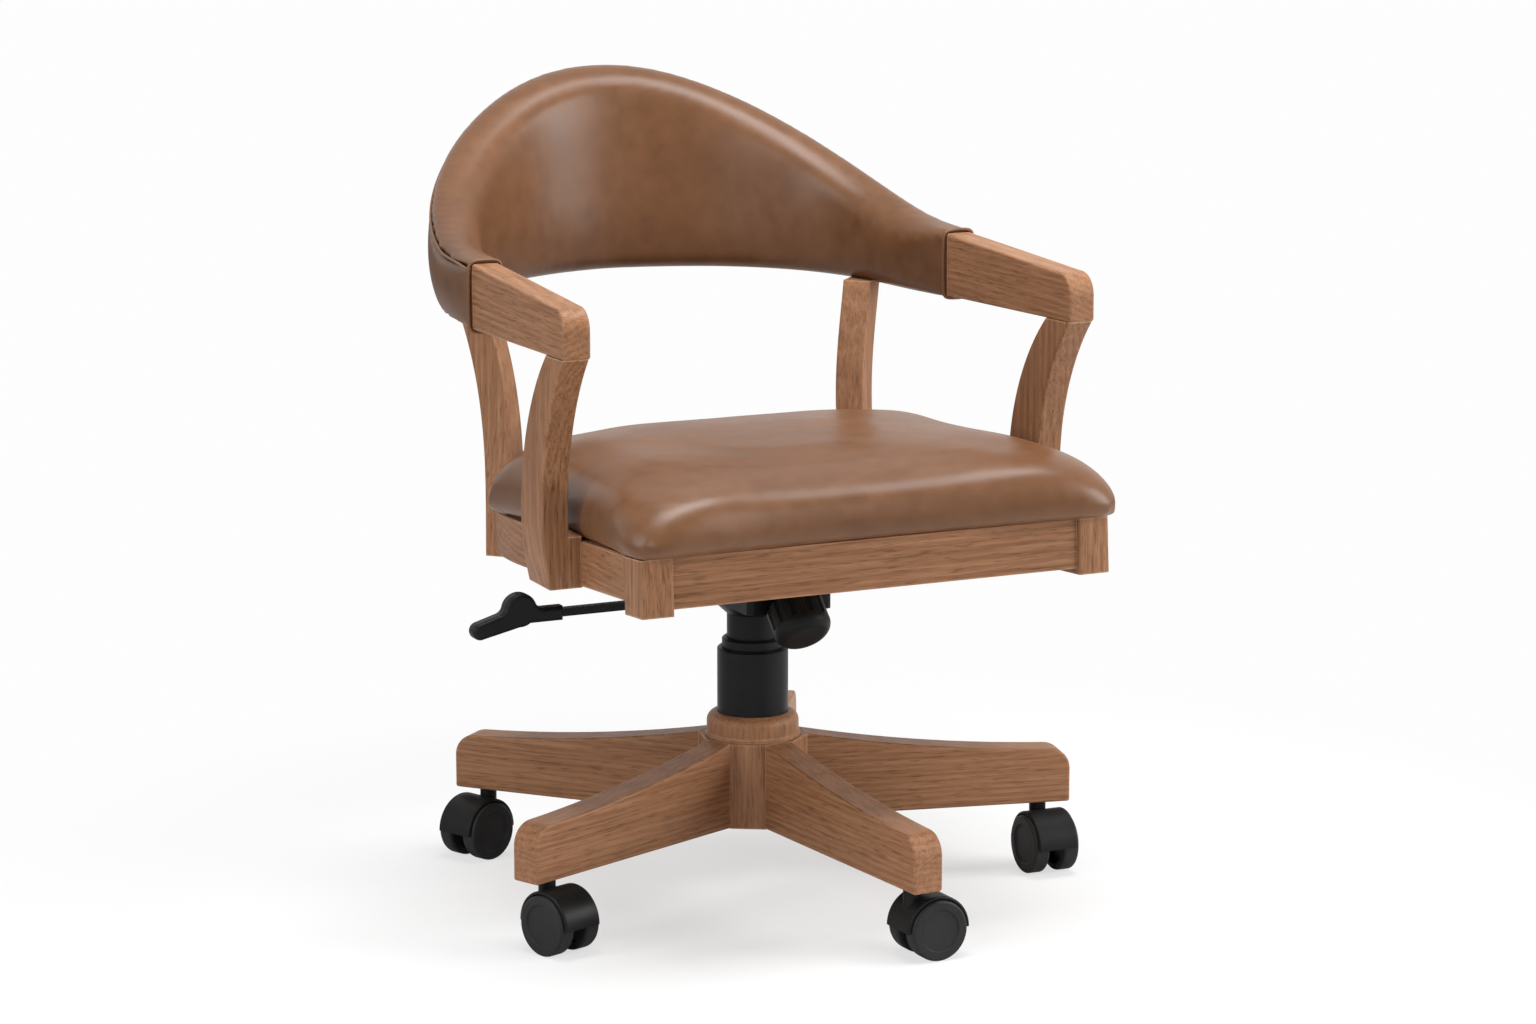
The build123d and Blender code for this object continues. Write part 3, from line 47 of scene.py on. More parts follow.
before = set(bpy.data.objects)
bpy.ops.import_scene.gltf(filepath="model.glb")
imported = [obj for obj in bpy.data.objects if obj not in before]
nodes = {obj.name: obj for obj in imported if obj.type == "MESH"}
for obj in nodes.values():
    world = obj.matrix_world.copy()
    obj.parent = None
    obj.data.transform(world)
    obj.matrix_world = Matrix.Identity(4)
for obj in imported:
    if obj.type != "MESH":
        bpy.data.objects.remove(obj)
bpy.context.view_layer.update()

# Pieces, by their finish
NUMBERS = range(1, 6)     # of the legs and of the casters
LEGS = [f"base_leg_{number}" for number in NUMBERS]
UPRIGHT_WOOD = ["base_hub", "hub_collar", "stile_left", "stile_right", "arm_post_left", "arm_post_right",
                "back_post_left", "back_post_right"]
LENGTHWISE_WOOD = ["rail_left", "rail_right", "arm_left", "arm_right"]
CROSSWISE_WOOD = ["rail_front", "rail_rear"]
HIDDEN_WOOD = ["seat_battens", "seat_board", "back_core"]
MOULDED = ["column_shroud", "tension_knob", "lever_paddle", *(f"caster_{number}_hood" for number in NUMBERS)]
ROLLING = [f"caster_{number}_wheels" for number in NUMBERS]
PAINTED = ["tilt_housing", "seat_plate", "lever_rod", "column_tube", "gas_cylinder"]
BRIGHT = ["leg_bolts", "caster_sockets", "thrust_bearing", "piston_rod", "release_pin", "tilt_axle",
          "lever_pin", "tension_bolt", "plate_bolts", *(f"caster_{number}_pins" for number in NUMBERS)]

# Patterns of wood and steel: waves to the metre on each axis, and their share of the tone
RING_STRETCH, RING_SHARE = (0.09, 1, 1), 0.08
STREAK_WAVES, STREAK_SHARE = (7, 200, 200), 0.32
FIBRE_WAVES, FIBRE_SHARE = (16, 560, 560), 0.34
BOARD_WAVES, BOARD_SHARE = (1.6, 7, 7), 0.24
PORE_WAVES = (45, 800, 800)
BARE_WAVES = (6, 120, 120)
TOOL_WAVES = (900, 900, 60)
RING_TURN = 20            # phase that the wave texture gives one unit of its scale
NOISE_SPAN = (0.3, 0.7)   # that soft noise mostly keeps to
PORE_SPAN = (0.58, 0.68)  # noise at which a pore starts and is full
WOOD_BANDS = (0.36, 0.5, 0.66)  # tones of the deep, middle and light stain
EDGE_HIGHLIGHT_WIDTH = 0.0035        # width of the painted highlight along an eased edge
EDGE_ALIKE = (0.99, 0.8)  # cosine of an edge's turn at which its painted highlight starts and is full
EDGE_SPAN = (0.35, 0.6)   # streaks in which the painted edge highlight is weakest and strongest
EDGE_HIGHLIGHT_STRENGTH = (0.45, 0.85)  # how strong the painted highlight is there

# Patterns of leather and plastic: waves to the metre, and their share of the tone
PATCH_WAVES, PATCH_SHARE = 6.0, 0.6
MOTTLE_WAVES, MOTTLE_SHARE = 55.0, 0.4
DRIFT_WAVES = 260.0       # that bend the pebbles of the grain
LEATHER_BANDS = (0.34, 0.5, 0.68)  # tones of the deep, middle and worn leather
CREASE_WIDTH = 0.16       # of the furrows between pebbles, as a share of a pebble
CREASE_SHADE = 0.25       # how far the furrows take the deep tone
CREASE_DULL = 0.05        # roughness that they add
FLOW_WAVES = 22.0         # marks of the plastic's flow in its mould
FLOW_SPAN = (0.35, 0.75)  # noise at which a mark starts and is full
FLOW_GAIN, FLOW_LIFT = 1.6, 0.002  # that make the plastic paler there
TOOL_SHADE = 0.7          # how dark steel is between its tool marks

# Padding and seams, in metres unless said otherwise
MERGE = 1e-5              # points nearer than this are one
SETTLE_FRAMES = 20        # of the stuffing's simulation
EVENING_ROUNDS = 60       # that spread the stuffing's swell evenly under the leather
SEAT_WAVE, BACK_WAVE = 0.09, 0.11  # spacing of the leather's unevenness
HELD_HEIGHT = 0.006       # of the cushion's leather that the frame holds
LOOSE_RISE = (0.004, 0.03)  # heights at which the cushion's leather starts to be loose and is free
END_STRIP = 0.03          # depth of the strips at front and rear that show the cushion's underside
CORNER_STRIP = 0.06       # depth of the strips that show its width at a corner
FILL_RISE = 0.015         # height at which the corners' filling lifts the leather in full
SHOULDER_IN, SHOULDER_WIDTH = 0.045, 0.05  # of the lifted shoulders, from the cushion's sides
PLEAT_FOOT = (0.003, 0.01)  # heights at which a pleat starts and is full
PLEAT_FADE = 0.5          # share of a pleat's height at which it starts to fade
PLEAT_REACH = 0.05        # how far from its corner a pleat carries
BOARD_IN = 0.016          # from the piped seam in to the middle of the back's hidden board
OFF_BOARD = (0.004, 0.014)  # distances from the board at which the leather is held and free
OFF_ARM = (0.006, 0.05)   # distances from the arms at which it is held and free
HELD_SHARE = 0.5          # freedom under which a point is held
SEAM_STEPS = 36           # of the piped seam round the back
CORNER_CUT = 0.2          # share of a welt's rounding that its corner points are drawn in by

# Stage: each softbox's place, what it is turned to, and its width and depth
LAMPS = {
    "overhead": ((0.15, -0.3, 2.5), (0.15, 0, 0.45), (1.7, 0.9)),
    "left": ((-2.5, -0.3, 1.3), (0, 0, 0.6), (0.6, 1.5)),
    "right": ((2.5, -1.75, 1.3), (0, 0, 0.6), (1.6, 1.5)),
    "front": ((-2.3, -2.1, 1.4), (0, 0, 0.4), (0.8, 1.2)),
}
FLOOR_SIZE = 40
FLOOR_BRIGHTNESS = 0.985  # of the plain white that the camera sees
SHADOW_CORE = 1 / 6       # share of the shadow's reach at which the floor starts to pale
SENSOR_WIDTH = 36         # of the camera, in millimetres


def colour(name, description, default):
    """Colour property in linear light."""
    return FloatVectorProperty(name=name, description=description, default=default, subtype="COLOR",
                               size=4, min=0, max=1)


def length(name, description, default):
    """Length property in metres."""
    return FloatProperty(name=name, description=description, default=default, unit="LENGTH", precision=4)


def position(name, description, default):
    """Point property in metres."""
    return FloatVectorProperty(name=name, description=description, default=default, unit="LENGTH",
                               subtype="TRANSLATION")


def angle(name, description, degrees):
    """Angle property, its default in degrees."""
    return FloatProperty(name=name, description=description, default=math.radians(degrees),
                         subtype="ANGLE")


def power(name, description, default):
    """Lamp power property in watts."""
    return FloatProperty(name=name, description=description, default=default, unit="POWER")


def share(name, description, default):
    """Property from 0 to 1."""
    return FloatProperty(name=name, description=description, default=default, min=0, max=1,
                         subtype="FACTOR")


def rounds(name, description, default):
    """Property that counts."""
    return IntProperty(name=name, description=description, default=default, min=0)


def measure(name, description, default):
    """Plain number property, not below 0."""
    return FloatProperty(name=name, description=description, default=default, min=0)


class WoodFinish(PropertyGroup):
    """Stain, grain and painted edge highlight of the visible wood."""

    deep: colour("Deep tone", "Stain in the dark bands of the grain", (0.17, 0.075, 0.034, 1))
    middle: colour("Middle tone", "Stain over most of the wood", (0.262, 0.124, 0.06, 1))
    light: colour("Light tone", "Stain in the pale bands", (0.35, 0.18, 0.096, 1))
    # The edge tone is a painted highlight: the pale line of light along the eased edges, not a stain.
    edge: colour("Edge tone", "Stain where hands have rubbed the edges", (0.6, 0.37, 0.23, 1))
    ring_width: length("Ring width", "Distance between growth rings", 0.006)
    pore_shade: share("Pore shade", "How dark the open pores are", 0.42)
    roughness: share("Roughness", "Of the satin lacquer", 0.42)
    gloss: share("Gloss", "Specular level of the satin lacquer", 0.18)
    bare: colour("Bare wood", "Unfinished wood inside the seat and back", (0.55, 0.4, 0.25, 1))


class LeatherFinish(PropertyGroup):
    """Colour and grain of the leather."""

    deep: colour("Deep tone", "Leather in its dark patches", (0.1, 0.042, 0.017, 1))
    middle: colour("Middle tone", "Leather over most of the chair", (0.128, 0.055, 0.023, 1))
    # The worn tone is the light band of the patches; on the piping it is partly worn leather and partly a
    # painted highlight.
    worn: colour("Worn tone", "Leather where it is stretched and rubbed", (0.156, 0.069, 0.03, 1))
    grain_size: length("Grain size", "Width of one pebble of the grain", 0.0011)
    roughness: share("Roughness", "Of the finished hide", 0.33)
    gloss: share("Gloss", "Specular level of the finished hide", 0.27)


class FittingFinish(PropertyGroup):
    """Colours of the plastic and metal fittings."""

    moulded: colour("Moulded plastic", "Shroud, knob, paddle and caster hoods", (0.005, 0.005, 0.005, 1))
    rolling: colour("Rolling plastic", "Caster wheels", (0.011, 0.011, 0.0115, 1))
    painted: colour("Painted steel", "Housing, plate and lever", (0.0045, 0.0045, 0.005, 1))
    bright: colour("Bright steel", "Pins, bolts and sleeves", (0.58, 0.58, 0.57, 1))
    bush: colour("Guide bush", "Pale bearing plastic in the column", (0.72, 0.72, 0.69, 1))
    rubber: colour("Rubber", "Tilt spring", (0.02, 0.02, 0.02, 1))


class CushionShape(PropertyGroup):
    """How the seat cushion is stuffed and drawn in."""

    voxel: length("Mesh size", "Face size of the padded mesh", 0.005)
    pressure: measure("Pressure", "Of the stuffing", 4.0)
    swell: length("Swell", "Furthest that the stuffing moves the leather", 0.005)
    smoothing: rounds("Smoothing", "Rounds of smoothing after the remesh", 5)
    corner_fill: length("Corner fill", "How far the stuffing fills out the front corners", 0.012)
    side_fill: length("Side fill", "How far the stuffing lifts the shoulders along the sides", 0.003)
    corner_reach: length("Corner reach", "How far from a front corner its filling carries", 0.12)
    pleat_depth: length("Pleat depth", "Of the gathered leather at each corner", 0.0018)
    pleat_width: length("Pleat width", "Half width of a pleat", 0.006)
    pleat_height: length("Pleat height", "How far a pleat reaches up from the frame", 0.034)
    uneven: length("Unevenness", "Of the leather over its foam", 0.0009)


class BackShape(PropertyGroup):
    """How the barrel back is padded, and where its seams run."""

    voxel: length("Mesh size", "Face size of the padded mesh", 0.0045)
    pressure: measure("Pressure", "Of the stuffing", 4.0)
    swell: length("Swell", "Furthest that the stuffing moves the leather", 0.003)
    smoothing: rounds("Smoothing", "Rounds of smoothing after the remesh", 3)
    uneven: length("Unevenness", "Of the leather over its foam", 0.0007)
    centre_y: length("Curve centre", "Y of the barrel's centre in plan", 0.114)
    radius: length("Seam radius", "Of the piped seam in plan", 0.274)
    underside: length("Underside", "Height of the back's lower edge", 0.578)
    rim_side: length("Side rim", "Height of the rim where the curve starts", 0.653)
    rim_top: length("Top rim", "Height of the rim at the middle of the back", 0.799)
    level_share: share("Even rise", "Share of the rim's rise that follows the sine, the rest its square",
                       0.25)
    lean: angle("Lean", "Of the middle of the back", 3.4)
    seam_drop: length("Seam drop", "Rim to the piped seam, along the curve", 0.014)
    run_seam: position("Seam on the run", "Point of the seam between curve and arm",
                       (0.27595, 0.08554, 0.64095))
    sleeve: position("Sleeve edge", "Upper outer edge of the leather at the arm",
                     (0.27782, 0.05708, 0.647))
    sleeve_width: length("Sleeve width", "Of the leather across the arm", 0.033)
    sleeve_round: length("Sleeve rounding", "Of its corners", 0.009)
    splay: angle("Splay", "Of the arms in plan", 1.8)
    piping: length("Piping radius", "Of the piped seam", 0.0015)
    welt: length("Welt radius", "Of the bead round each arm", 0.0018)
    welt_proud: length("Welt stand", "How far the bead's middle stands out from the leather", 0.0008)


class StudioStage(PropertyGroup):
    """Floor, lamps and camera."""

    floor: colour("Floor", "Colour of the studio floor", (0.9, 0.9, 0.9, 1))
    floor_white: share("Floor white", "Share of plain white that the camera sees under the chair", 0.58)
    shadow_reach: length("Shadow reach", "Distance from the chair at which the floor is plain white", 0.95)
    ambient: share("Ambient", "Strength of the surrounding light on the chair", 0.06)
    overhead: power("Overhead lamp", "Power of the softbox above", 70.0)
    left: power("Left lamp", "Power of the softbox on the left", 23.0)
    right: power("Right lamp", "Power of the softbox on the right", 80.0)
    front: power("Front lamp", "Power of the softbox in front on the left", 20.0)
    camera: position("Camera", "Where the camera stands", (-1.8783, -3.9708, 1.2595))
    azimuth: angle("Azimuth", "Of the view, left of straight on", 25.517)
    elevation: angle("Elevation", "How far the camera looks down", 11.257)
    lens: FloatProperty(name="Lens", description="Focal length", default=104.87, unit="CAMERA")


# Shader nodes
def new_material(name):
    """New node material, its tree and its surface shader."""
    material = bpy.data.materials.new(name)
    material.use_nodes = True
    tree = material.node_tree
    surface = tree.nodes["Principled BSDF"]
    return material, tree, surface


def add_node(tree, kind, inputs=None, **settings):
    """Shader node with its settings, and its inputs set to values or linked to other outputs."""
    node = tree.nodes.new(kind)
    for setting, value in settings.items():
        setattr(node, setting, value)
    for name, value in (inputs or {}).items():
        if isinstance(value, bpy.types.NodeSocket):
            tree.links.new(value, node.inputs[name])
        else:
            node.inputs[name].default_value = value
    return node


def worked(tree, operation, *values):
    """Number worked out from others."""
    return add_node(tree, "ShaderNodeMath", dict(enumerate(values)), operation=operation).outputs[0]


def weighed(tree, *parts):
    """Sum of numbers, each times its share."""
    total = 0.0
    for value, part in parts:
        total = worked(tree, "MULTIPLY_ADD", value, part, total)
    return total


def ranged(tree, value, low, high, to_low=0.0, to_high=1.0):
    """Number taken from one range to another and held inside it."""
    sizes = {"Value": value, "From Min": low, "From Max": high, "To Min": to_low, "To Max": to_high}
    return add_node(tree, "ShaderNodeMapRange", sizes).outputs["Result"]


def blended(tree, factor, first, second, way="MIX"):
    """Colour between two others."""
    return add_node(tree, "ShaderNodeMix", {0: factor, 6: first, 7: second}, data_type="RGBA",
                    blend_type=way).outputs[2]


def toned(tree, tone, bands, deep, middle, light):
    """Colour that goes from deep through middle to light as a tone rises through its bands."""
    lowest, centre, highest = bands
    lower = blended(tree, ranged(tree, tone, lowest, centre), deep, middle)
    return blended(tree, ranged(tree, tone, centre, highest), lower, light)


def clouds(tree, place, scale=1.0, detail=2.0, roughness=0.5):
    """Soft noise from 0 to 1."""
    inputs = {"Vector": place, "Scale": scale, "Detail": detail, "Roughness": roughness}
    return add_node(tree, "ShaderNodeTexNoise", inputs).outputs["Fac"]


def stretched(tree, place, scale):
    """Place drawn out by a scale for each axis."""
    return add_node(tree, "ShaderNodeMapping", {"Vector": place, "Scale": scale}).outputs["Vector"]


def object_place(tree):
    """Place on the chair, in metres."""
    return add_node(tree, "ShaderNodeTexCoord").outputs["Object"]


def raise_surface(tree, surface, height, strength, distance, under=None):
    """Bump a surface by a height, over another bump if one is given."""
    inputs = {"Height": height, "Strength": strength, "Distance": distance}
    if under is not None:
        inputs["Normal"] = under
    normal = add_node(tree, "ShaderNodeBump", inputs).outputs["Normal"]
    tree.links.new(normal, surface.inputs["Normal"])
    return normal


def dull_surface(tree, surface, pattern, low, high):
    """Give a surface a roughness between two values, by the noise of a pattern."""
    tree.links.new(ranged(tree, pattern, *NOISE_SPAN, low, high), surface.inputs["Roughness"])


def edge_highlight_mask(tree):
    """Mask of the eased edges for a painted highlight, from the difference to a rounded normal."""
    rounded = add_node(tree, "ShaderNodeBevel", {"Radius": EDGE_HIGHLIGHT_WIDTH}, samples=6).outputs["Normal"]
    flat = add_node(tree, "ShaderNodeNewGeometry").outputs["Normal"]
    alike = add_node(tree, "ShaderNodeVectorMath", {0: rounded, 1: flat}, operation="DOT_PRODUCT")
    return ranged(tree, alike.outputs["Value"], *EDGE_ALIKE)


# Finishes
def stained_wood(name, turn):
    """Open-grained wood under a warm stain, its grain turned along the piece, with a pale painted highlight
    on its eased edges.
    """
    finish = bpy.context.scene.chair_wood
    material, tree, surface = new_material(name)
    along = add_node(tree, "ShaderNodeMapping", {"Vector": object_place(tree), "Rotation": turn})
    along = along.outputs["Vector"]
    growth = {"Vector": stretched(tree, along, RING_STRETCH),
              "Scale": math.tau / RING_TURN / finish.ring_width,
              "Distortion": 5.0, "Detail": 3.0, "Detail Scale": 1.6, "Detail Roughness": 0.6}
    rings = add_node(tree, "ShaderNodeTexWave", growth, wave_type="RINGS", rings_direction="X",
                     wave_profile="SIN").outputs["Fac"]
    boards = clouds(tree, stretched(tree, along, BOARD_WAVES))
    streaks = clouds(tree, stretched(tree, along, STREAK_WAVES), detail=4.0, roughness=0.6)
    fibres = clouds(tree, stretched(tree, along, FIBRE_WAVES), detail=3.0, roughness=0.6)
    pores = ranged(tree, clouds(tree, stretched(tree, along, PORE_WAVES), detail=1.0), *PORE_SPAN)
    tone = weighed(tree, (rings, RING_SHARE), (streaks, STREAK_SHARE), (fibres, FIBRE_SHARE),
                   (boards, BOARD_SHARE))
    stain = toned(tree, tone, WOOD_BANDS, finish.deep, finish.middle, finish.light)
    shade = worked(tree, "MULTIPLY", pores, finish.pore_shade)
    stain = blended(tree, shade, stain, finish.deep, "MULTIPLY")
    # Painted highlight: the eased edges are made paler, standing in for the light they catch, more so in
    # some streaks.
    lightened = ranged(tree, streaks, *EDGE_SPAN, *EDGE_HIGHLIGHT_STRENGTH)
    stain = blended(tree, worked(tree, "MULTIPLY", edge_highlight_mask(tree), lightened), stain, finish.edge)
    tree.links.new(stain, surface.inputs["Base Color"])
    dull_surface(tree, surface, fibres, finish.roughness - 0.05, finish.roughness + 0.1)
    surface.inputs["Specular IOR Level"].default_value = finish.gloss
    open_grain = weighed(tree, (fibres, 0.5), (pores, -1.0))
    raise_surface(tree, surface, open_grain, strength=0.22, distance=0.0005)
    return material


def bare_wood(name):
    """Unfinished boards inside the seat and back."""
    finish = bpy.context.scene.chair_wood
    material, tree, surface = new_material(name)
    place = stretched(tree, object_place(tree), BARE_WAVES)
    streaks = clouds(tree, place, detail=3.0, roughness=0.6)
    pale = blended(tree, ranged(tree, streaks, *NOISE_SPAN, to_high=0.5), finish.bare, finish.light)
    tree.links.new(pale, surface.inputs["Base Color"])
    dull_surface(tree, surface, streaks, 0.6, 0.8)
    raise_surface(tree, surface, streaks, strength=0.2, distance=0.0005)
    return material


def brown_leather(name, stretch=0.0):
    """Finished hide with a fine pebbled grain, soft patches and a low gloss, lighter if stretched; on the
    piping the lighter tone is also a painted highlight.
    """
    finish = bpy.context.scene.chair_leather
    material, tree, surface = new_material(name)
    place = object_place(tree)
    patches = clouds(tree, place, PATCH_WAVES, detail=3.0)
    mottle = clouds(tree, place, MOTTLE_WAVES)
    drift = add_node(tree, "ShaderNodeTexNoise", {"Vector": place, "Scale": DRIFT_WAVES, "Detail": 2.0})
    wandering = add_node(tree, "ShaderNodeVectorMath",
                         {0: drift.outputs["Color"], 1: (finish.grain_size,) * 3, 2: place},
                         operation="MULTIPLY_ADD").outputs["Vector"]
    pebbles = add_node(tree, "ShaderNodeTexVoronoi",
                       {"Vector": wandering, "Scale": 1 / finish.grain_size, "Randomness": 1.0},
                       feature="DISTANCE_TO_EDGE").outputs["Distance"]
    creases = ranged(tree, pebbles, 0.0, CREASE_WIDTH, 1.0, 0.0)
    tone = weighed(tree, (patches, PATCH_SHARE), (mottle, MOTTLE_SHARE))
    tone = worked(tree, "ADD", tone, stretch)
    hide = toned(tree, tone, LEATHER_BANDS, finish.deep, finish.middle, finish.worn)
    hide = blended(tree, worked(tree, "MULTIPLY", creases, CREASE_SHADE), hide, finish.deep)
    tree.links.new(hide, surface.inputs["Base Color"])
    polish = ranged(tree, mottle, *NOISE_SPAN, finish.roughness - 0.02, finish.roughness + 0.03)
    polish = worked(tree, "MULTIPLY_ADD", creases, CREASE_DULL, polish)
    tree.links.new(polish, surface.inputs["Roughness"])
    surface.inputs["Specular IOR Level"].default_value = finish.gloss
    soft = raise_surface(tree, surface, mottle, strength=0.025, distance=0.002)
    raise_surface(tree, surface, creases, strength=-0.1, distance=0.0004, under=soft)
    return material


def moulded_plastic(name, tone, roughness, grain, gloss):
    """Satin plastic with the fine texture of its mould and faint flow marks."""
    material, tree, surface = new_material(name)
    place = object_place(tree)
    texture = clouds(tree, place, grain)
    marks = clouds(tree, place, FLOW_WAVES, detail=3.0)
    paler = tuple(min(1.0, part * FLOW_GAIN + FLOW_LIFT) for part in tone[:3]) + (1.0,)
    plastic = blended(tree, ranged(tree, marks, *FLOW_SPAN), tone, paler)
    tree.links.new(plastic, surface.inputs["Base Color"])
    dull_surface(tree, surface, marks, roughness - 0.05, roughness + 0.07)
    surface.inputs["Specular IOR Level"].default_value = gloss
    raise_surface(tree, surface, texture, strength=0.12, distance=0.0003)
    return material


def bright_steel(name, tone):
    """Plain turned steel with fine tool marks."""
    material, tree, surface = new_material(name)
    marks = clouds(tree, stretched(tree, object_place(tree), TOOL_WAVES))
    darker = tuple(part * TOOL_SHADE for part in tone[:3]) + (1.0,)
    steel = blended(tree, ranged(tree, marks, *NOISE_SPAN), darker, tone)
    tree.links.new(steel, surface.inputs["Base Color"])
    dull_surface(tree, surface, marks, 0.22, 0.38)
    surface.inputs["Metallic"].default_value = 1.0
    raise_surface(tree, surface, marks, strength=0.05, distance=0.0002)
    return material


def dress(names, material):
    """Give solids a material in every slot."""
    for name in names:
        if name not in nodes:
            raise RuntimeError(f"the frame has no piece named {name}")
        mesh = nodes[name].data
        mesh.materials.clear()
        mesh.materials.append(material)


# Modelling
def make_active(piece):
    """Select one object and nothing else."""
    if bpy.context.object is not None and bpy.context.object.mode != "OBJECT":
        bpy.ops.object.mode_set(mode="OBJECT")
    bpy.ops.object.select_all(action="DESELECT")
    piece.select_set(True)
    bpy.context.view_layer.objects.active = piece


def finish_with(piece, kind, **settings):
    """Add a modifier and apply it."""
    make_active(piece)
    modifier = piece.modifiers.new(kind.title(), kind)
    for setting, value in settings.items():
        setattr(modifier, setting, value)
    bpy.ops.object.modifier_apply(modifier=modifier.name)


def merge_mesh(piece):
    """Join the loose faces of a mesh and turn them all outwards."""
    make_active(piece)
    bpy.ops.object.mode_set(mode="EDIT")
    bpy.ops.mesh.select_all(action="SELECT")
    bpy.ops.mesh.remove_doubles(threshold=MERGE)
    bpy.ops.mesh.normals_make_consistent(inside=False)
    bpy.ops.object.mode_set(mode="OBJECT")


def padded_copy(node, name, voxel, smoothing, crisp=0.0):
    """New piece with a solid's shape, in even faces with soft edges, crisper by its front if asked."""
    piece = bpy.data.objects.new(name, nodes[node].data.copy())
    bpy.context.scene.collection.objects.link(piece)
    piece.data.materials.clear()
    merge_mesh(piece)
    finish_with(piece, "REMESH", mode="VOXEL", voxel_size=voxel, use_smooth_shade=True)
    finish_with(piece, "SMOOTH", factor=0.5, iterations=1)
    sharp = points_of(piece)
    finish_with(piece, "SMOOTH", factor=0.5, iterations=smoothing)
    if crisp:
        low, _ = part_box(node)
        soft = eased(sharp[:, 1], low.y + crisp / 2, low.y + crisp)[:, None]
        move_points(piece, sharp + (points_of(piece) - sharp) * soft)
    return piece


def points_of(piece):
    """Points of a mesh as rows of x, y and z."""
    flat = np.empty(len(piece.data.vertices) * 3)
    piece.data.vertices.foreach_get("co", flat)
    return flat.reshape(-1, 3)


def move_points(piece, points):
    """Set the points of a mesh."""
    piece.data.vertices.foreach_set("co", points.ravel())
    piece.data.update()


def normals_of(piece):
    """Normals at the points of a mesh."""
    flat = np.empty(len(piece.data.vertices) * 3)
    piece.data.vertices.foreach_get("normal", flat)
    return flat.reshape(-1, 3)


def eased(value, low, high):
    """Smooth step from 0 at low to 1 at high."""
    step = np.clip((value - low) / (high - low), 0, 1)
    return step * step * (3 - 2 * step)


def evened(piece, amount):
    """An amount at each point of a mesh, spread evenly over its neighbours as taut leather spreads it."""
    ends = np.empty(len(piece.data.edges) * 2, dtype=np.int32)
    piece.data.edges.foreach_get("vertices", ends)
    first, second = ends[::2], ends[1::2]
    size = len(amount)
    neighbours = np.bincount(ends, minlength=size)
    for _ in range(EVENING_ROUNDS):
        around = np.bincount(first, amount[second], size) + np.bincount(second, amount[first], size)
        amount = (amount + around / neighbours) / 2
    return amount


def stuff(piece, pressure, furthest, held):
    """Swell a pad by cloth simulation, and keep each point's swell along its normal, up to a furthest."""
    group = piece.vertex_groups.new(name="held")
    group.add(np.flatnonzero(held).tolist(), 1.0, "REPLACE")
    make_active(piece)
    cloth = piece.modifiers.new("Stuffing", "CLOTH")
    cloth.settings.quality = 5
    cloth.settings.use_pressure = True
    cloth.settings.uniform_pressure_force = pressure
    cloth.settings.vertex_group_mass = group.name
    cloth.settings.effector_weights.gravity = 0
    cloth.collision_settings.use_collision = False
    cloth.point_cache.frame_start = 1
    cloth.point_cache.frame_end = SETTLE_FRAMES
    before = points_of(piece)
    for number in range(1, SETTLE_FRAMES + 1):
        bpy.context.scene.frame_set(number)
    bpy.ops.object.modifier_apply(modifier=cloth.name)
    bpy.context.scene.frame_set(1)
    move = points_of(piece) - before
    move_points(piece, before)
    normals = normals_of(piece)
    swell = np.clip((move * normals).sum(axis=1), 0, furthest) * ~held
    move_points(piece, before + normals * evened(piece, swell)[:, None])
    piece.vertex_groups.clear()


def unsettle(piece, height, spacing, loose):
    """Raise and lower the leather a little over its foam, where it is loose."""
    points = points_of(piece)
    lift = np.array([noise.noise(Vector(point) / spacing) for point in points]) * height * loose
    move_points(piece, points + normals_of(piece) * lift[:, None])


def finish_leather(piece, material, replaced):
    """Give a padded piece its last subdivision, its leather and its place on the seat."""
    finish_with(piece, "SUBSURF", levels=1, render_levels=1)
    piece.data.materials.append(material)
    make_active(piece)
    bpy.ops.object.shade_smooth()
    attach(piece, "seat")
    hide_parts(replaced)


def sewn_bead(name, path, radius, closed, material):
    """Leather bead along a path, for piping and welts."""
    bpy.ops.object.select_all(action="DESELECT")
    bpy.ops.curve.primitive_nurbs_path_add(location=(0, 0, 0))
    bead = bpy.context.object
    bead.name = name
    line = bead.data.splines[0]
    line.points.add(len(path) - len(line.points))
    for point, spot in zip(line.points, path):
        point.co = (*spot, 1)
    line.order_u = 3
    line.use_endpoint_u = not closed
    line.use_cyclic_u = closed
    line.resolution_u = 4
    bead.data.bevel_depth = radius
    bead.data.bevel_resolution = 3
    bead.data.use_fill_caps = not closed
    make_active(bead)
    bpy.ops.object.convert(target="MESH")
    merge_mesh(bead)
    bpy.ops.object.shade_smooth()
    bead.data.materials.append(material)
    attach(bead, "seat")
    return bead


class StainWood(Operator):
    """Stain the legs, frame, posts and arms, each with its grain along the piece"""

    bl_idname = "desk_chair.stain_wood"
    bl_label = "Stain the wood"

    def execute(self, context):
        quarter = math.pi / 2
        for name in LEGS:
            low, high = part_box(name)
            outward = (low + high) / 2
            dress([name], stained_wood(f"stained_{name}", (0, 0, -math.atan2(outward.y, outward.x))))
        dress(UPRIGHT_WOOD, stained_wood("stained_upright", (0, quarter, 0)))
        dress(LENGTHWISE_WOOD, stained_wood("stained_lengthwise", (0, 0, -quarter)))
        dress(CROSSWISE_WOOD, stained_wood("stained_crosswise", (0, 0, 0)))
        dress(HIDDEN_WOOD, bare_wood("bare_wood"))
        return {"FINISHED"}


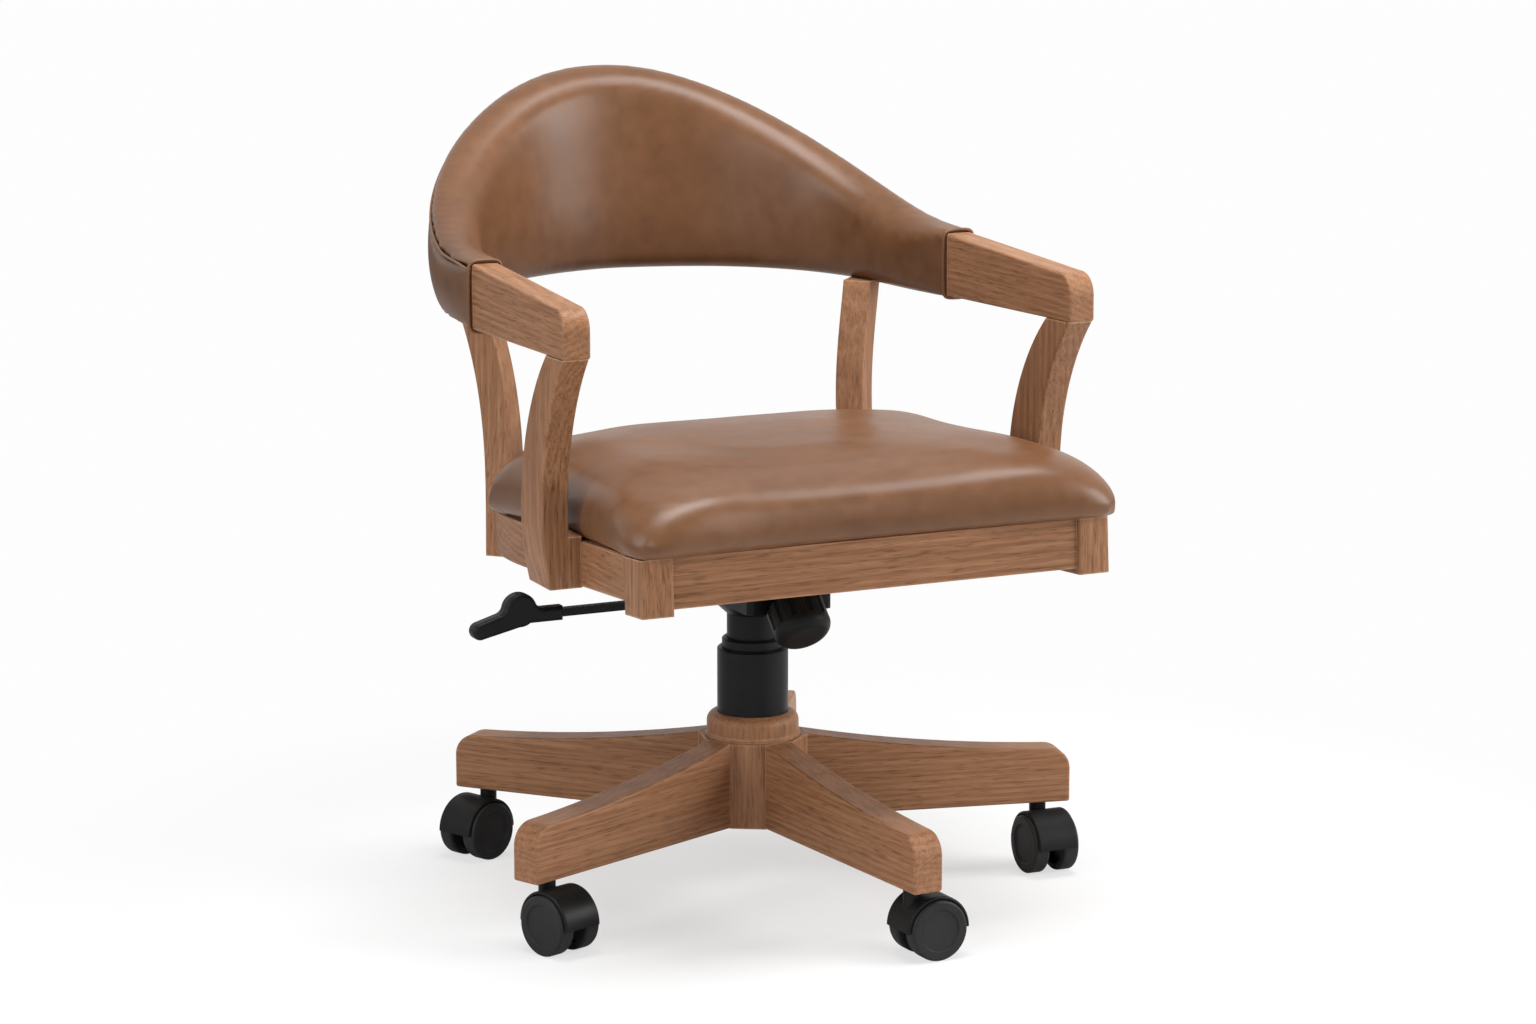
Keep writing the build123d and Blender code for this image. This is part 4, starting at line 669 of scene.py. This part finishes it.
class FinishFittings(Operator):
    """Give the casters, column, mechanism and lever their plastic and metal finishes"""

    bl_idname = "desk_chair.finish_fittings"
    bl_label = "Finish the fittings"

    def execute(self, context):
        finish = context.scene.chair_fittings
        plastics = (
            (MOULDED, "moulded_black", finish.moulded, 0.42, 1500.0, 0.12),
            (ROLLING, "rolling_black", finish.rolling, 0.5, 900.0, 0.18),
            (PAINTED, "painted_black", finish.painted, 0.38, 420.0, 0.12),
            (["guide_bush"], "bush_plastic", finish.bush, 0.5, 900.0, 0.4),
            (["tension_spring"], "spring_rubber", finish.rubber, 0.7, 700.0, 0.2),
        )
        for pieces, name, tone, roughness, grain, gloss in plastics:
            dress(pieces, moulded_plastic(name, tuple(tone), roughness, grain, gloss))
        dress(BRIGHT, bright_steel("bright_steel", tuple(finish.bright)))
        return {"FINISHED"}


class StuffCushion(Operator):
    """Stuff the seat cushion, gather its corners and draw its leather down to the frame"""

    bl_idname = "desk_chair.stuff_cushion"
    bl_label = "Stuff the cushion"

    def execute(self, context):
        shape = context.scene.chair_cushion
        cushion = padded_copy("seat_cushion", "cushion_leather", shape.voxel, shape.smoothing)
        low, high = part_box("seat_cushion")
        height = self.above_frame(points_of(cushion), low, high)
        stuff(cushion, shape.pressure, shape.swell, height < HELD_HEIGHT)
        self.fill_corners(cushion, shape, low, high)
        self.gather_corners(cushion, shape, low, high)
        unsettle(cushion, shape.uneven, SEAT_WAVE, eased(height, *LOOSE_RISE))
        hide = brown_leather("cushion_hide", stretch=0.03)
        finish_leather(cushion, hide, "seat_cushion")
        return {"FINISHED"}

    @staticmethod
    def above_frame(points, low, high):
        """Height of points over the cushion's pitched underside."""
        front = points[points[:, 1] < low.y + END_STRIP]
        rear = points[points[:, 1] > high.y - END_STRIP]
        fall = (rear[:, 2].min() - front[:, 2].min()) / (high.y - low.y)
        return points[:, 2] - front[:, 2].min() - fall * (points[:, 1] - low.y)

    @staticmethod
    def half_width(points, end):
        """Half of the cushion's width by its front or rear end."""
        return np.abs(points[np.abs(points[:, 1] - end) < CORNER_STRIP][:, 0]).max()

    def fill_corners(self, cushion, shape, low, high):
        """Fill out the front corners, a little over the frame, and lift the shoulders along the sides."""
        points = points_of(cushion)
        normals = normals_of(cushion)
        out = np.abs(points[:, 0])
        edge = self.half_width(points, low.y)
        away = np.hypot(out - edge, points[:, 1] - low.y)
        above = eased(self.above_frame(points, low, high), 0, FILL_RISE)
        fill = shape.corner_fill * np.exp(-(away / shape.corner_reach) ** 2) * (1 + above) / 2
        push = normals * fill[:, None]
        shoulder = np.exp(-((edge - SHOULDER_IN - out) / SHOULDER_WIDTH) ** 2)
        lift = shape.side_fill * shoulder * np.maximum(normals[:, 2], 0)
        push[:, 2] = above * (push[:, 2] + lift)
        move_points(cushion, points + push)

    def gather_corners(self, cushion, shape, low, high):
        """Pleat the leather where it is pulled round each corner of the frame."""
        points = points_of(cushion)
        normals = normals_of(cushion)
        height = self.above_frame(points, low, high)
        fade = eased(height, shape.pleat_height * PLEAT_FADE, shape.pleat_height)
        rise = eased(height, *PLEAT_FOOT) * (1 - fade)
        depth = np.zeros(len(points))
        for side in (-1, 1):
            for end in (low.y, high.y):
                way = np.array([side, -1 if end == low.y else 1]) / math.sqrt(2)
                spot = points[:, :2] - np.array([side * self.half_width(points, end), end])
                across = spot @ np.array([-way[1], way[0]])
                near = np.exp(-((spot @ way) / PLEAT_REACH) ** 2)
                depth += near * rise * np.exp(-(across / shape.pleat_width) ** 2)
        move_points(cushion, points - normals * (depth * shape.pleat_depth)[:, None])


class UpholsterBack(Operator):
    """Pad the inside of the barrel back and stretch the outer leather over it"""

    bl_idname = "desk_chair.upholster_back"
    bl_label = "Upholster the back"

    def execute(self, context):
        shape = context.scene.chair_back
        hide = brown_leather("back_hide")
        for node, name, fill in (("back_pad", "back_inside_leather", 0.85),
                                 ("back_cover", "back_outer_leather", 0.9)):
            piece = padded_copy(node, name, shape.voxel, shape.smoothing, crisp=shape.sleeve_width)
            loose = self.away_from_edges(piece, node, shape)
            stuff(piece, shape.pressure, shape.swell, loose < HELD_SHARE)
            unsettle(piece, shape.uneven, BACK_WAVE, loose)
            finish_leather(piece, hide, node)
        return {"FINISHED"}

    @staticmethod
    def away_from_edges(piece, node, shape):
        """How free each point of a pad is, from 0 at the arms and the hidden board to 1 in the open."""
        points = points_of(piece)
        low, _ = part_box(node)
        reach = np.hypot(points[:, 0], np.maximum(points[:, 1] - shape.centre_y, 0))
        off_board = eased(np.abs(reach - (shape.radius - BOARD_IN)), *OFF_BOARD)
        held, free = OFF_ARM
        off_arms = eased(points[:, 1], low.y + held, low.y + free)
        return off_board * off_arms


class SewPiping(Operator):
    """Sew the piped seam along the back's outer edge and the welts where the leather meets the arms"""

    bl_idname = "desk_chair.sew_piping"
    bl_label = "Sew the piping"

    def execute(self, context):
        shape = context.scene.chair_back
        # Piping and welts are paler: partly worn leather on the bead, partly a painted highlight for the
        # light that the bead catches.
        hide = brown_leather("piping_hide", stretch=0.2)
        sewn_bead("back_piping", self.seam(shape), shape.piping, closed=False, material=hide)
        for side, name in ((1, "welt_left"), (-1, "welt_right")):
            sewn_bead(name, self.welt(shape, side), shape.welt, closed=True, material=hide)
        return {"FINISHED"}

    @staticmethod
    def seam(shape):
        """Points of the piped seam, from one arm round the back to the other."""
        sleeve = Vector(shape.sleeve)
        ends = [sleeve + Vector((0, shape.welt, -shape.sleeve_round)), Vector(shape.run_seam)]
        curve = []
        for step in range(1, SEAM_STEPS):
            turn = math.pi * step / SEAM_STEPS
            sine = math.sin(turn)
            rise = shape.level_share * sine + (1 - shape.level_share) * sine ** 2
            height = shape.rim_side + (shape.rim_top - shape.rim_side) * rise - shape.seam_drop
            reach = shape.radius + math.tan(shape.lean) * sine * (height - shape.underside)
            curve.append(Vector((reach * math.cos(turn), shape.centre_y + reach * sine, height)))
        return ends + curve + [Vector((-spot.x, spot.y, spot.z)) for spot in reversed(ends)]

    @staticmethod
    def welt(shape, side):
        """Loop round the leather's end at one arm, with rounded corners."""
        sleeve = Vector(shape.sleeve)
        inner, outer = shape.sleeve_width + shape.welt_proud, -shape.welt_proud
        bottom, top = shape.underside - shape.welt_proud, sleeve.z + shape.welt_proud
        corners = ((inner, bottom), (inner, top), (outer, top), (outer, bottom))
        corners = [Vector(corner) for corner in corners]
        loop = []
        for number, corner in enumerate(corners):
            back = (corners[number - 1] - corner).normalized()
            on = (corners[(number + 1) % len(corners)] - corner).normalized()
            for way in (back, (back + on) * CORNER_CUT, on):
                spot = corner + way * shape.sleeve_round
                x = sleeve.x - math.cos(shape.splay) * spot.x
                y = sleeve.y - math.sin(shape.splay) * spot.x + shape.welt
                loop.append(Vector((side * x, y, spot.y)))
        return loop


class SetStage(Operator):
    """Lay the studio floor, hang the softboxes and stand the camera where the picture was taken"""

    bl_idname = "desk_chair.set_stage"
    bl_label = "Set the stage"

    def execute(self, context):
        stage = context.scene.chair_stage
        self.lay_floor(stage)
        self.surround(context.scene, stage)
        for name, (place, target, size) in LAMPS.items():
            self.hang_lamp(f"{name}_softbox", place, target, size, getattr(stage, name))
        self.stand_camera(context.scene, stage)
        context.scene.view_settings.view_transform = "Standard"
        return {"FINISHED"}

    @staticmethod
    def lay_floor(stage):
        """Pale floor that keeps the chair's shadow and is plain white to the camera away from it."""
        bpy.ops.object.select_all(action="DESELECT")
        bpy.ops.mesh.primitive_plane_add(size=FLOOR_SIZE, location=(0, 0, 0))
        floor = bpy.context.object
        floor.name = "studio_floor"
        material, tree, surface = new_material("studio_floor")
        surface.inputs["Base Color"].default_value = stage.floor
        surface.inputs["Roughness"].default_value = 0.9
        surface.inputs["Specular IOR Level"].default_value = 0.1
        seen = add_node(tree, "ShaderNodeLightPath").outputs["Is Camera Ray"]
        away = add_node(tree, "ShaderNodeVectorMath", {0: object_place(tree)}, operation="LENGTH")
        plain = ranged(tree, away.outputs["Value"], stage.shadow_reach * SHADOW_CORE, stage.shadow_reach,
                       to_low=stage.floor_white)
        plain = worked(tree, "MULTIPLY", seen, plain)
        glow = {"Color": (1, 1, 1, 1), "Strength": FLOOR_BRIGHTNESS}
        white = add_node(tree, "ShaderNodeEmission", glow).outputs[0]
        mixed = add_node(tree, "ShaderNodeMixShader", {0: plain, 1: surface.outputs[0], 2: white})
        tree.links.new(mixed.outputs[0], tree.nodes["Material Output"].inputs["Surface"])
        floor.data.materials.append(material)

    @staticmethod
    def surround(scene, stage):
        """White surroundings for the camera and for reflections, and a softer light on the chair."""
        world = bpy.data.worlds.new("studio")
        world.use_nodes = True
        scene.world = world
        tree = world.node_tree
        path = add_node(tree, "ShaderNodeLightPath").outputs
        seen = worked(tree, "MAXIMUM", path["Is Camera Ray"], path["Is Glossy Ray"])
        seen = worked(tree, "MAXIMUM", seen, path["Is Transmission Ray"])
        sky = tree.nodes["Background"]
        sky.inputs["Color"].default_value = (1, 1, 1, 1)
        tree.links.new(ranged(tree, seen, 0, 1, stage.ambient, 1.0), sky.inputs["Strength"])

    @staticmethod
    def hang_lamp(name, place, target, size, power):
        """Softbox of a width and depth, turned to a target."""
        bpy.ops.object.light_add(type="AREA", location=place)
        lamp = bpy.context.object
        lamp.name = name
        lamp.data.shape = "RECTANGLE"
        lamp.data.size, lamp.data.size_y = size
        lamp.data.energy = power
        lamp.rotation_euler = (Vector(target) - Vector(place)).to_track_quat("-Z", "Y").to_euler()

    @staticmethod
    def stand_camera(scene, stage):
        """Camera at the picture's place, angle and lens."""
        flat = math.cos(stage.elevation)
        look = Vector((math.sin(stage.azimuth) * flat, math.cos(stage.azimuth) * flat,
                       -math.sin(stage.elevation)))
        turn = look.to_track_quat("-Z", "Y").to_euler()
        bpy.ops.object.camera_add(location=stage.camera, rotation=turn)
        camera = bpy.context.object
        camera.name = "picture_camera"
        camera.data.lens = stage.lens
        camera.data.sensor_width = SENSOR_WIDTH
        scene.camera = camera


class DeskChairPanel(Panel):
    """Steps of the chair's looks"""

    bl_idname = "DESKCHAIR_PT_looks"
    bl_label = "Desk Chair"
    bl_space_type = "VIEW_3D"
    bl_region_type = "UI"
    bl_category = "Desk Chair"

    def draw(self, context):
        for step in STEPS:
            self.layout.operator(step.bl_idname)


STEPS = (StainWood, FinishFittings, StuffCushion, UpholsterBack, SewPiping, SetStage)
GROUPS = {"chair_wood": WoodFinish, "chair_leather": LeatherFinish, "chair_fittings": FittingFinish,
          "chair_cushion": CushionShape, "chair_back": BackShape, "chair_stage": StudioStage}


def register():
    """Make the panel, the steps and their settings known."""
    for kind in (*GROUPS.values(), *STEPS, DeskChairPanel):
        bpy.utils.register_class(kind)
    for name, kind in GROUPS.items():
        setattr(bpy.types.Scene, name, PointerProperty(type=kind))


def unregister():
    """Take the settings, the steps and the panel away again."""
    for name in GROUPS:
        delattr(bpy.types.Scene, name)
    for kind in reversed((*GROUPS.values(), *STEPS, DeskChairPanel)):
        bpy.utils.unregister_class(kind)


def main():
    """Dress the chair step by step."""
    register()
    bpy.ops.desk_chair.stain_wood()
    bpy.ops.desk_chair.finish_fittings()
    bpy.ops.desk_chair.stuff_cushion()
    bpy.ops.desk_chair.upholster_back()
    bpy.ops.desk_chair.sew_piping()
    bpy.ops.desk_chair.set_stage()


if __name__ == "__main__":
    main()
